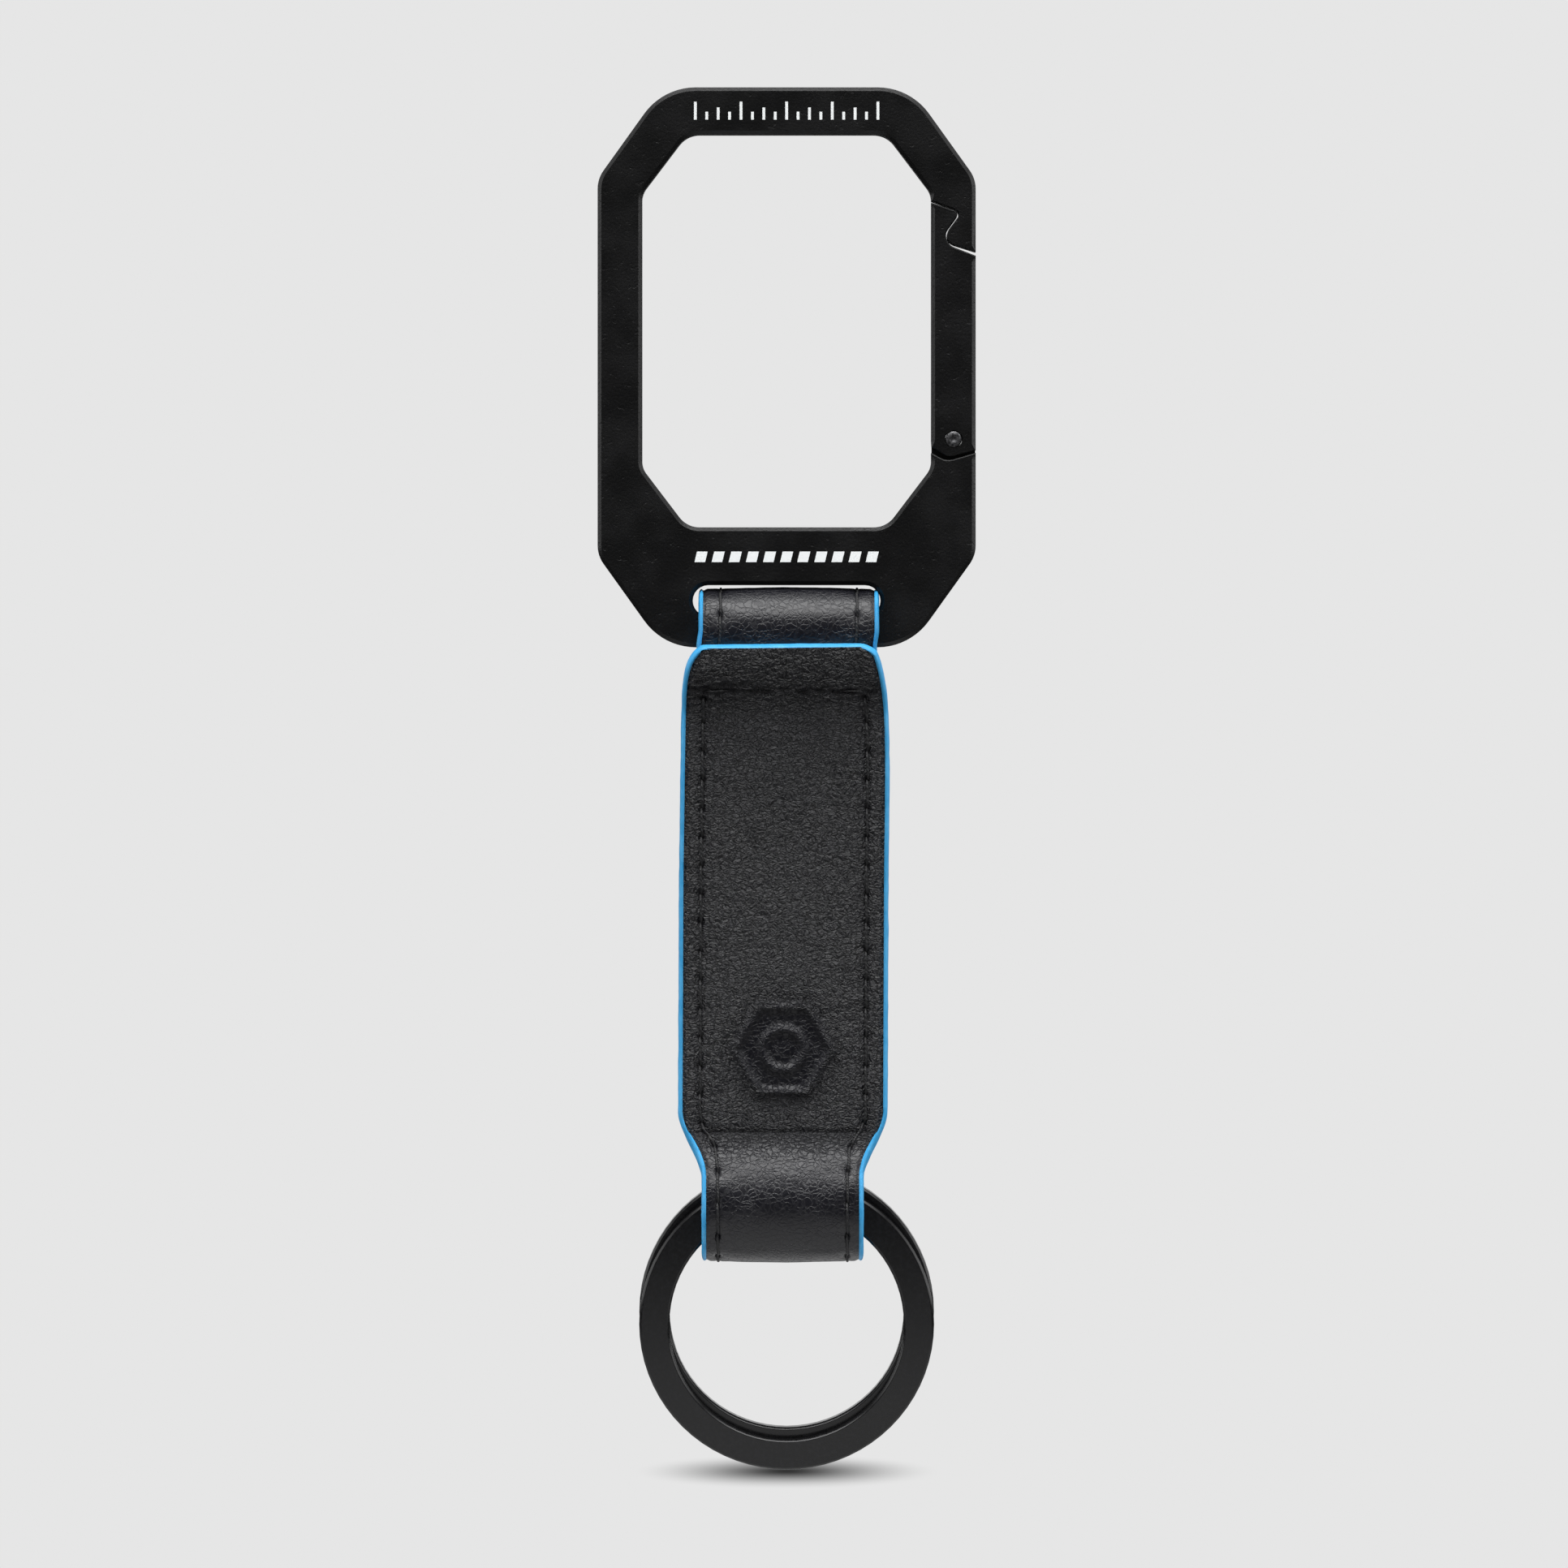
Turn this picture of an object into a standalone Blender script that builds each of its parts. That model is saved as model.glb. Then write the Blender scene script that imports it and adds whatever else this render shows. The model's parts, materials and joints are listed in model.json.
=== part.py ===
"""Key organiser: an octagonal carabiner plate with a sprung keylock gate, a doubled leather
strap looped round the plate's lower bar, and a flat split ring in the strap's lower loop.

The origin is the centre of the flat underside of the carabiner's top bar, on the plate's
mid-plane. The plate's front face looks along -Y, and +Z is up. Every size is in
millimetres, and add_node turns it into metres.
"""

import math

import bmesh
import bpy
from mathutils import Matrix, Vector

MM = 0.001

# Carabiner plate
PLATE_HALF = 1.6  # half of its thickness
EDGE_CHAMFER = 0.36
SEAM_EDGE_CHAMFER = 0.1  # beside the gate's seams
OUTER_HALF_WIDTH = 17.9
OUTER_TOP = 4.46
OUTER_BOTTOM = -48.54
OUTER_CORNER = (6.2, 8.65)  # width and height of the cut-off corner
OUTER_END_RADIUS = 6.0
OUTER_SIDE_RADIUS = 3.0
OPENING_HALF_WIDTH = 13.68
OPENING_BOTTOM = -37.2
OPENING_CORNER = (4.25, 5.6)
OPENING_END_RADIUS = 2.4
OPENING_SIDE_RADIUS = 2.0
SLOT_TOP = -42.65
SLOT_BOTTOM = -45.58
SLOT_HALF_WIDTH = 8.9
BAR_Z = (SLOT_BOTTOM + OUTER_BOTTOM) / 2  # the axis that the strap swings on

# Gate, its pin and its return plunger
PIN_X = 15.82
PIN_Z = -28.85
PIN_RADIUS = 0.78
PRESS_CLEARANCE = 0.02
RUNNING_CLEARANCE = 0.05
LEDGE_GAP, HEAD_GAP, NECK_GAP, LIP_GAP = 0.18, 0.09, 0.07, 0.4  # along the keylock seam
SEAM_MARGIN = 0.6  # how far from a seam the plate's edges have their full chamfer again
NOSE_LEDGE = (OPENING_HALF_WIDTH, -6.38)  # the keylock seam, from the inner side
NOSE_HEAD = (16.52, -7.35, 0.5)  # x, z and radius of the corner
NOSE_NECK = (14.5, -10.1, 1.04)
NOSE_LIP = (OUTER_HALF_WIDTH, -11.3)
GATE_FOOT = ((-2.1, -0.72), (-0.55, -1.72, 1.2), (2.08, -1.05))  # from the pin
GATE_SEAT = ((-2.14, -1.32), (-0.65, -2.12, 1.5), (2.08, -1.3))
TAB_HALF = 0.55  # the frame's tongue between the gate's two cheeks
TAB_LEFT, TAB_RIGHT, TAB_ROOT, TAB_TOP = -2.1, 2.04, -3.0, 1.3  # from the pin
TAB_RIGHT_RADIUS = 1.25
TAB_LEFT_RADIUS = 0.5
FORK_HALF = 0.65
FORK_TOP = 2.35  # above the pin
PLUNGER_X = -0.9  # from the pin
PLUNGER_RADIUS = 0.6
PLUNGER_LENGTH = 2.3
PLUNGER_REST_GAP = 0.03
BORE_RADIUS = 0.66
BORE_TOP = 9.5  # above the pin
SPRING_WIRE_RADIUS = 0.12
SPRING_COIL_RADIUS = 0.45
SPRING_TURNS = 7
SPRING_END_GAP = 0.03

# Leather strap: one strip, folded over the bar and through the lower loop
LEATHER = 0.7
CORE = 0.3
PLY_GAP = 0.05
STRIP = 2 * LEATHER + CORE + 2 * PLY_GAP
STACK_GAP = 0.06
STACK_Y = -0.9  # middle of the three plies of the doubled strap
PITCH = STRIP + STACK_GAP
FRONT_Y = STACK_Y - PITCH
BACK_Y = STACK_Y + PITCH
UPPER_LOOP_RADIUS = 3.15  # to the middle of the strip
FLAP_TOP = -48.54
CROSS_SEAM_Z = -52.3
FOLD_Z = -55.0  # from here down the three plies lie flat on each other
FOLD_END_Z = -94.2
BULGE_Z = -94.4
LOWER_LOOP_Z = -101.2
LOWER_LOOP_RADIUS = 4.55
PANEL_HALF_WIDTH = 9.87
UPPER_HALF_WIDTH = 8.2
NECK_HALF_WIDTH = 7.68
NECK_TOP, NECK_BOTTOM = -92.2, -99.2
SHOULDER_TOP, SHOULDER_BOTTOM = -51.0, -60.0
FLAP_HALF_WIDTH = 9.3
FLAP_CORNER = 1.8
FLAP_TAPER = 9.0
PAINT_WIDTH = 0.4
PAINT_GAP = 0.06
SEAM_INSET = 2.1
THREAD_RADIUS = 0.09
THREAD_LIFT = 0.02
CROSS_SEAM_HALF = 7.6
THREAD_START_Z = -53.0
THREAD_END_ANGLE = math.radians(170)  # round the upper loop, from its back
TOUCH = 0.01  # points closer than this count as one

# Split ring
RING_OUTER_RADIUS = 13.97
RING_INNER_RADIUS = 11.1
COIL_THICKNESS = 1.4
COIL_GAP = 0.06
COIL_SHIFT = 0.95  # the rear coil has sprung this much higher than the front one
RING_CHAMFER = 0.22
RAMP_HALF = math.radians(20)
RING_DROP = 10.925  # from the lower loop's axis to the ring's centre
RING_TILT = math.radians(7)  # the bottom of the ring leans backward

# Fineness of round shapes
ARC_STEP = math.radians(6)
SMALL_ARC_STEP = math.radians(15)
PIN_SIDES = 32
PLUNGER_SIDES = 20
CORD_SIDES = 5
RING_SIDES = 72
BEND_STEPS = 9
CLIMB_STEPS = 7
HALF_TURN_STEPS = 18
FLAP_CURVE_STEPS = 80
FLAP_STEPS = 8
FLAP_CORNER_STEPS = 5
SHOULDER_STEPS = 4
ALMOST_ALL = 0.999  # keeps a straight bit between two arcs that would meet
SHARP_ANGLE = math.radians(35)


# ---------------------------------------------------------------- flat outlines


def rounded(corners, closed, step=ARC_STEP):
    """Points along straight lines whose corners, given as x, z and radius, become arcs."""
    points = []
    for i, corner in enumerate(corners):
        here = Vector(corner[:2])
        at_end = not closed and i in (0, len(corners) - 1)
        if at_end or len(corner) < 3:
            points.append(here)
            continue
        back = (Vector(corners[i - 1][:2]) - here).normalized()
        ahead = (Vector(corners[(i + 1) % len(corners)][:2]) - here).normalized()
        half = back.angle(ahead) / 2
        centre = here + (back + ahead).normalized() * corner[2] / math.sin(half)
        arm = here + back * corner[2] / math.tan(half) - centre
        turn = math.copysign(math.pi - 2 * half, ahead.cross(back))
        steps = max(2, math.ceil(abs(turn) / step))
        for k in range(steps + 1):
            points.append(centre + Matrix.Rotation(turn * k / steps, 2) @ arm)
    return points


def inset(points, depths, closed=True):
    """Moves each point to the left of the way along the outline, by its own depth."""
    moved = []
    for i, here in enumerate(points):
        back = points[i - 1] if closed or i else None
        ahead = points[(i + 1) % len(points)] if closed or i + 1 < len(points) else None
        ways = []
        if back is not None:
            ways.append((here - back).normalized())
        if ahead is not None:
            ways.append((ahead - here).normalized())
        sides = [Vector((-way.y, way.x)) for way in ways]
        first, last = sides[0], sides[-1]
        moved.append(here + (first + last) / (1 + first.dot(last)) * depths[i])
    return moved


def octagon(half_width, top, bottom, corner, end_radius, side_radius):
    """Eight corners, anticlockwise from the lower end of the right side."""
    x = half_width - corner[0]
    right = [
        (x, bottom, end_radius),
        (half_width, bottom + corner[1], side_radius),
        (half_width, top - corner[1], side_radius),
        (x, top, end_radius),
    ]
    left = [(-x_right, z, radius) for x_right, z, radius in reversed(right)]
    return right[1:] + left + right[:1]


def above_pin(points):
    """Moves outline points that are given from the pin's axis to the part's frame."""
    return [(PIN_X + p[0], PIN_Z + p[1], *p[2:]) for p in points]


# ---------------------------------------------------------------- solids


def loft(rings, loop=False):
    """A closed skin through rings of points, capped at its ends unless it runs in a loop."""
    bm = bmesh.new()
    rows = [[bm.verts.new(point) for point in ring] for ring in rings]
    pairs = list(zip(rows, rows[1:]))
    if loop:
        pairs.append((rows[-1], rows[0]))
    for near, far in pairs:
        for i in range(len(near)):
            bm.faces.new((near[i - 1], near[i], far[i], far[i - 1]))
    if not loop:
        bm.faces.new(rows[0])
        bm.faces.new(rows[-1])
    bmesh.ops.recalc_face_normals(bm, faces=bm.faces)
    return bm


def plate(outline, half, chamfers, overrun=0.0):
    """An upright plate with chamfered edges. Negative chamfers flare it into a cutter,
    which also overruns both faces."""
    narrowed = inset(outline, chamfers)
    rings = []
    for side in (-1, 1):
        face = [(p.x, side * half, p.y) for p in narrowed]
        shoulder = [(p.x, side * (half - abs(c)), p.y) for p, c in zip(outline, chamfers)]
        layers = [face, shoulder]
        if overrun:
            layers.insert(0, [(x, y + side * overrun, z) for x, y, z in face])
        rings += layers if side < 0 else layers[::-1]
    return loft(rings)


def turned(profile, axis_point, direction, sides=PIN_SIDES):
    """A round piece from (distance along the axis, radius) pairs."""
    turn = Vector((0, 0, 1)).rotation_difference(direction)
    rings = []
    for along, radius in profile:
        ring = []
        for k in range(sides):
            angle = 2 * math.pi * k / sides
            point = Vector((radius * math.cos(angle), radius * math.sin(angle), along))
            ring.append(axis_point + turn @ point)
        rings.append(ring)
    return loft(rings)


def tube(path, radius, sides, side_way):
    """A round cord along a path. side_way is a direction that the path never follows."""
    rings = []
    for i, point in enumerate(path):
        way = (path[min(i + 1, len(path) - 1)] - path[max(i - 1, 0)]).normalized()
        across = way.cross(side_way).normalized()
        up = across.cross(way)
        ring = []
        for k in range(sides):
            angle = 2 * math.pi * k / sides
            ring.append(point + (across * math.cos(angle) + up * math.sin(angle)) * radius)
        rings.append(ring)
    return loft(rings)


# ---------------------------------------------------------------- scene objects


def material(name, colour, roughness, metallic=0.0):
    made = bpy.data.materials.new(name)
    made.use_nodes = True
    shader = made.node_tree.nodes["Principled BSDF"]
    shader.inputs["Base Color"].default_value = (*colour, 1)
    shader.inputs["Roughness"].default_value = roughness
    shader.inputs["Metallic"].default_value = metallic
    return made


def axis_empty(name, location, rotation=(0, 0, 0)):
    """An empty on a joint's axis, for the pieces that turn on it."""
    empty = bpy.data.objects.new(name, None)
    empty.location = Vector(location) * MM
    empty.rotation_euler = rotation
    bpy.context.scene.collection.objects.link(empty)
    return empty


def add_node(name, bm, finish=None, axis=None, own_frame=False):
    """Makes an object from a mesh in millimetres. The mesh is in the part's frame, unless
    own_frame says that it is already in the axis's."""
    bm.transform(Matrix.Scale(MM, 4))
    if axis and not own_frame:
        bm.transform(Matrix.Translation(-axis.location))
    mesh = bpy.data.meshes.new(name)
    bm.to_mesh(mesh)
    bm.free()
    mesh.shade_smooth()
    mesh.set_sharp_from_angle(angle=SHARP_ANGLE)
    if finish:
        mesh.materials.append(finish)
    obj = bpy.data.objects.new(name, mesh)
    bpy.context.scene.collection.objects.link(obj)
    obj.parent = axis
    return obj


def combine(obj, operation, name, bm):
    """Cuts the mesh from the object, or joins it on."""
    other = add_node(name, bm)
    other.hide_render = True
    other.display_type = "WIRE"
    step = obj.modifiers.new(name, "BOOLEAN")
    step.operation = operation
    step.object = other
    step.solver = "EXACT"


# ---------------------------------------------------------------- carabiner


def keylock_seam():
    """The seam between the frame's nose and the gate, from the inner to the outer side."""
    corners = [NOSE_LEDGE, NOSE_HEAD, NOSE_NECK, NOSE_LIP]
    return rounded(corners, closed=False, step=SMALL_ARC_STEP)


def seam_gap(z):
    """The seam's gap at a level: tight round the nose's neck, and open at the lip."""
    places = [NOSE_LIP[1], NOSE_NECK[1], NOSE_HEAD[1], NOSE_LEDGE[1]]
    gaps = [LIP_GAP, NECK_GAP, HEAD_GAP, LEDGE_GAP]
    for i, (low, high) in enumerate(zip(places, places[1:])):
        if z <= high:
            return gaps[i] + (gaps[i + 1] - gaps[i]) * (z - low) / (high - low)
    return LEDGE_GAP


def seam_side(hand):
    """One side of the keylock seam, with its ends flush with the plate's sides. hand is 1
    for the frame's side and -1 for the gate's."""
    seam = keylock_seam()
    side = inset(seam, [hand * seam_gap(point.y) / 2 for point in seam], closed=False)
    side[0].x = OPENING_HALF_WIDTH
    side[-1].x = OUTER_HALF_WIDTH
    return side


def pin_hole(clearance):
    reach = PLATE_HALF + 1
    radius = PIN_RADIUS + clearance
    profile = [(-reach, radius), (reach, radius)]
    return turned(profile, Vector((PIN_X, 0, PIN_Z)), Vector((0, -1, 0)))


def edge_chamfers(outline, *seams):
    """Each point's chamfer: small along a seam, and growing to full away from it."""
    chamfers = []
    for point in outline:
        away = min((point - end).length for seam in seams for end in seam)
        share = min(away / SEAM_MARGIN, 1)
        chamfers.append(SEAM_EDGE_CHAMFER + (EDGE_CHAMFER - SEAM_EDGE_CHAMFER) * share)
    return chamfers


def build_frame(finish):
    outer = octagon(
        OUTER_HALF_WIDTH, OUTER_TOP, OUTER_BOTTOM,
        OUTER_CORNER, OUTER_END_RADIUS, OUTER_SIDE_RADIUS,
    )
    inner = octagon(
        OPENING_HALF_WIDTH, 0, OPENING_BOTTOM,
        OPENING_CORNER, OPENING_END_RADIUS, OPENING_SIDE_RADIUS,
    )
    nose = seam_side(1)
    seat = rounded(above_pin(GATE_SEAT), closed=False, step=SMALL_ARC_STEP)[::-1]
    # Round the outside from the nose to the seat, then back round the opening.
    around = [(OUTER_HALF_WIDTH, nose[-1].y + SEAM_MARGIN)] + outer[1:] + outer[:1]
    around.append((OUTER_HALF_WIDTH, seat[0].y - SEAM_MARGIN))
    outside = rounded(around, closed=False)
    around = [(OPENING_HALF_WIDTH, seat[-1].y - SEAM_MARGIN)] + inner[:1] + inner[:0:-1]
    around.append(tuple(nose[0]))
    inside = rounded(around, closed=False)[:-1]
    outline = outside + seat + inside + nose
    chamfers = edge_chamfers(outline, seat, nose)
    frame = add_node("carabiner_frame", plate(outline, PLATE_HALF, chamfers), finish)

    end_radius = (SLOT_TOP - SLOT_BOTTOM) / 2
    almost_round = end_radius * ALMOST_ALL
    slot = rounded(
        [
            (SLOT_HALF_WIDTH, SLOT_BOTTOM, almost_round),
            (SLOT_HALF_WIDTH, SLOT_TOP, almost_round),
            (-SLOT_HALF_WIDTH, SLOT_TOP, almost_round),
            (-SLOT_HALF_WIDTH, SLOT_BOTTOM, almost_round),
        ],
        closed=True,
        step=SMALL_ARC_STEP,
    )
    cutter = plate(slot, PLATE_HALF, [-EDGE_CHAMFER] * len(slot), overrun=1)
    combine(frame, "DIFFERENCE", "strap_slot_cutter", cutter)

    tab = [
        (TAB_LEFT, TAB_ROOT),
        (TAB_RIGHT, TAB_ROOT),
        (TAB_RIGHT, TAB_TOP, TAB_RIGHT_RADIUS),
        (TAB_LEFT, TAB_TOP, TAB_LEFT_RADIUS),
    ]
    tab = rounded(above_pin(tab), closed=True, step=SMALL_ARC_STEP)
    rings = [[(p.x, y, p.y) for p in tab] for y in (-TAB_HALF, TAB_HALF)]
    combine(frame, "UNION", "tab_block", loft(rings))
    combine(frame, "DIFFERENCE", "tab_hole_cutter", pin_hole(PRESS_CLEARANCE))


def build_gate(finish, axis):
    head = seam_side(-1)[::-1]
    foot = rounded(above_pin(GATE_FOOT), closed=False, step=SMALL_ARC_STEP)
    outer_side = [
        Vector((OUTER_HALF_WIDTH, foot[-1].y + SEAM_MARGIN)),
        Vector((OUTER_HALF_WIDTH, head[0].y - SEAM_MARGIN)),
    ]
    inner_side = [
        Vector((OPENING_HALF_WIDTH, head[-1].y - SEAM_MARGIN)),
        Vector((OPENING_HALF_WIDTH, foot[0].y + SEAM_MARGIN)),
    ]
    outline = outer_side + head + inner_side + foot
    chamfers = edge_chamfers(outline, head, foot)
    gate = add_node("gate", plate(outline, PLATE_HALF, chamfers), finish, axis)

    reach = OUTER_HALF_WIDTH - OPENING_HALF_WIDTH
    fork = above_pin([(-reach, -reach), (reach, -reach), (reach, FORK_TOP), (-reach, FORK_TOP)])
    rings = [[(x, y, z) for x, z in fork] for y in (-FORK_HALF, FORK_HALF)]
    combine(gate, "DIFFERENCE", "fork_cutter", loft(rings))
    combine(gate, "DIFFERENCE", "cheek_hole_cutter", pin_hole(RUNNING_CLEARANCE))
    drill_tip = (BORE_TOP + BORE_RADIUS / 2, BORE_RADIUS / 8)
    bore = [(TAB_TOP, BORE_RADIUS), (BORE_TOP, BORE_RADIUS), drill_tip]
    cutter = turned(bore, plunger_centre(), Vector((0, 0, 1)), PLUNGER_SIDES)
    combine(gate, "DIFFERENCE", "bore_cutter", cutter)


def plunger_centre():
    """Where the plunger's axis passes the height of the pin."""
    return Vector((PIN_X + PLUNGER_X, 0, PIN_Z))


def build_pin(finish):
    """A rivet pin, flush with the cheeks, with a bevelled rim and a dimple at each end."""
    rim = 0.12
    dimple_radius, dimple_depth = 0.32, 0.1
    half = [
        (PLATE_HALF - dimple_depth, dimple_radius * 0.5),
        (PLATE_HALF - rim / 4, dimple_radius),
        (PLATE_HALF - rim / 4, PIN_RADIUS - rim),
        (PLATE_HALF - rim, PIN_RADIUS),
    ]
    profile = [(-along, radius) for along, radius in half] + half[::-1]
    pin = turned(profile, Vector((PIN_X, 0, PIN_Z)), Vector((0, -1, 0)))
    add_node("gate_pivot_pin", pin, finish)


def build_plunger(finish, axis):
    tip = TAB_TOP + PLUNGER_REST_GAP
    dome_steps = 4
    profile = []
    for k in range(1, dome_steps + 1):
        angle = math.pi / 2 * k / dome_steps
        height = tip + PLUNGER_RADIUS * (1 - math.cos(angle))
        profile.append((height, PLUNGER_RADIUS * math.sin(angle)))
    profile.append((tip + PLUNGER_LENGTH, PLUNGER_RADIUS))
    plunger = turned(profile, plunger_centre(), Vector((0, 0, 1)), PLUNGER_SIDES)
    add_node("gate_plunger", plunger, finish, axis)


def build_spring(finish, axis):
    end_room = SPRING_WIRE_RADIUS + SPRING_END_GAP
    bottom = TAB_TOP + PLUNGER_REST_GAP + PLUNGER_LENGTH + end_room
    top = BORE_TOP - end_room
    steps_per_turn = 10
    steps = SPRING_TURNS * steps_per_turn
    path = []
    for k in range(steps + 1):
        angle = 2 * math.pi * k / steps_per_turn
        arm = Vector((math.cos(angle), math.sin(angle), 0)) * SPRING_COIL_RADIUS
        height = bottom + (top - bottom) * k / steps
        path.append(plunger_centre() + arm + Vector((0, 0, height)))
    cord = tube(path, SPRING_WIRE_RADIUS, CORD_SIDES, Vector((0, 0, 1)))
    add_node("gate_spring", cord, finish, axis)


# ---------------------------------------------------------------- strap


def ease(t):
    """A smooth step from 0 to 1, flat at both ends."""
    t = min(max(t, 0), 1)
    return t * t * (3 - 2 * t)


def bend(start, end, steps):
    """Points from start to end that leave and arrive upright."""
    points = []
    for k in range(steps + 1):
        t = k / steps
        y = start[0] + (end[0] - start[0]) * ease(t)
        points.append(Vector((y, start[1] + (end[1] - start[1]) * t)))
    return points


def half_turn(centre, radius, start_angle):
    """Half a circle in the YZ plane, anticlockwise seen with +Y to the right, without its
    two ends."""
    points = []
    for k in range(1, HALF_TURN_STEPS):
        angle = start_angle + math.pi * k / HALF_TURN_STEPS
        points.append(Vector(centre) + Vector((math.cos(angle), math.sin(angle))) * radius)
    return points


def straight(y, levels):
    return [Vector((y, z)) for z in levels]


def levels(start, end, steps):
    return [start + (end - start) * k / steps for k in range(steps + 1)]


def strip_path():
    """The middle of the strip as (y, z) points: the flap and the front panel down, the
    lower loop, the back panel up, over the bar, and down between the panels. Returns the
    points and each point's half width."""
    bar_front = (-UPPER_LOOP_RADIUS, BAR_Z)
    leg = bend(bar_front, (STACK_Y, FOLD_Z), BEND_STEPS)
    flap = flap_path(bend(bar_front, (STACK_Y, FOLD_Z), FLAP_CURVE_STEPS))
    front = straight(FRONT_Y, [FLAP_TOP - FLAP_TAPER, NECK_TOP])
    loop_front = (STACK_Y - LOWER_LOOP_RADIUS, LOWER_LOOP_Z)
    loop_back = (STACK_Y + LOWER_LOOP_RADIUS, LOWER_LOOP_Z)
    bulge = bend((FRONT_Y, BULGE_Z), loop_front, BEND_STEPS)
    lower = half_turn((STACK_Y, LOWER_LOOP_Z), LOWER_LOOP_RADIUS, math.pi)
    rise = bend(loop_back, (BACK_Y, BULGE_Z), BEND_STEPS)
    back = straight(BACK_Y, [NECK_TOP] + levels(SHOULDER_BOTTOM, FOLD_Z, SHOULDER_STEPS))
    climb = bend((BACK_Y, FOLD_Z), (UPPER_LOOP_RADIUS, BAR_Z), CLIMB_STEPS)[1:]
    over = half_turn((0, BAR_Z), UPPER_LOOP_RADIUS, 0)
    shoulder = levels(FOLD_Z, SHOULDER_BOTTOM, SHOULDER_STEPS)[1:]
    tail = straight(STACK_Y, shoulder + [NECK_TOP, FOLD_END_Z])
    points = flap + front + bulge + lower + rise + back + climb + over + leg + tail
    widths = [flap_half_width(p.y) for p in flap + front]
    widths += [body_half_width(p.y) for p in points[len(widths):]]
    return points, widths


def flap_path(leg):
    """The flap lies on the front leg of the upper loop, with closer points at its corners."""
    curve = inset(leg, [-PITCH] * len(leg), closed=False)
    corner = []
    for k in range(FLAP_CORNER_STEPS):
        angle = math.pi / 2 * k / FLAP_CORNER_STEPS
        corner.append(FLAP_TOP - FLAP_CORNER * (1 - math.cos(angle)))
    path = []
    for z in corner + levels(FLAP_TOP - FLAP_CORNER, FOLD_Z, FLAP_STEPS):
        above, below = next((a, b) for a, b in zip(curve, curve[1:]) if b.y <= z + 1e-6)
        path.append(above.lerp(below, (above.y - z) / (above.y - below.y)))
    return path


def neck_narrowing(z):
    fall = ease((NECK_TOP - z) / (NECK_TOP - NECK_BOTTOM))
    return (PANEL_HALF_WIDTH - NECK_HALF_WIDTH) * fall


def body_half_width(z):
    shoulder = ease((SHOULDER_TOP - z) / (SHOULDER_TOP - SHOULDER_BOTTOM))
    upper = UPPER_HALF_WIDTH + (PANEL_HALF_WIDTH - UPPER_HALF_WIDTH) * shoulder
    return upper - neck_narrowing(z)


def flap_half_width(z):
    """The flap has round corners, then widens gently to the panel."""
    fall = FLAP_TOP - z
    widening = (PANEL_HALF_WIDTH - FLAP_HALF_WIDTH) * ease(fall / FLAP_TAPER)
    missing = max(0, 1 - fall / FLAP_CORNER)
    corner = FLAP_CORNER * (1 - math.sqrt(1 - missing * missing))
    return FLAP_HALF_WIDTH + widening - corner - neck_narrowing(z)


def on_strip(points, lengths, length, across, out):
    """A place on the folded strip as a point in the part's frame."""
    i = 0
    while i < len(points) - 2 and lengths[i + 1] < length:
        i += 1
    t = (length - lengths[i]) / (lengths[i + 1] - lengths[i])
    t = min(max(t, 0), 1)
    near, far = out_way(points, i), out_way(points, i + 1)
    place = points[i].lerp(points[i + 1], t) + near.lerp(far, t) * out
    return Vector((across, place.x, place.y))


def out_way(points, i):
    """The strip's grain side at point i."""
    way = (points[min(i + 1, len(points) - 1)] - points[max(i - 1, 0)]).normalized()
    return Vector((way.y, -way.x))


def path_lengths(points):
    lengths = [0.0]
    for near, far in zip(points, points[1:]):
        lengths.append(lengths[-1] + (far - near).length)
    return lengths


def strip_outline(points, widths, depth):
    """The strip's right side laid flat, as (length, half width) points, moved in from its
    painted rim by depth. The left side is its mirror image."""
    lengths = path_lengths(points)
    side = [Vector((0, 0))] + [Vector(pair) for pair in zip(lengths, widths)]
    return inset(side, [-depth] * len(side), closed=False)[1:]


def build_ply(name, out, thickness, finish, axis):
    """One ply of the strip between the painted rims."""
    points, widths = strip_path()
    lengths = path_lengths(points)
    rings = []
    for length, half in strip_outline(points, widths, PAINT_WIDTH + PAINT_GAP):
        ring = []
        for x, side in [(-half, -1), (half, -1), (half, 1), (-half, 1)]:
            ring.append(on_strip(points, lengths, length, x, out + side * thickness / 2))
        rings.append(ring)
    add_node(name, loft(rings), finish, axis)


def build_edge_paint(finish, axis):
    """One bead of paint up one side of the strip, across the flap and down the other."""
    points, widths = strip_path()
    lengths = path_lengths(points)
    rim = strip_outline(points, widths, 0)
    inner = strip_outline(points, widths, PAINT_WIDTH)
    stations = [(-1, a, b) for a, b in zip(reversed(rim), reversed(inner))]
    stations += [(1, a, b) for a, b in zip(rim, inner)]
    rings = []
    for hand, outside, inside in stations:
        ring = []
        for p, side in [(inside, -1), (outside, -1), (outside, 1), (inside, 1)]:
            ring.append(on_strip(points, lengths, p.x, hand * p.y, side * STRIP / 2))
        rings.append(ring)
    add_node("edge_paint", loft(rings), finish, axis)


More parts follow.
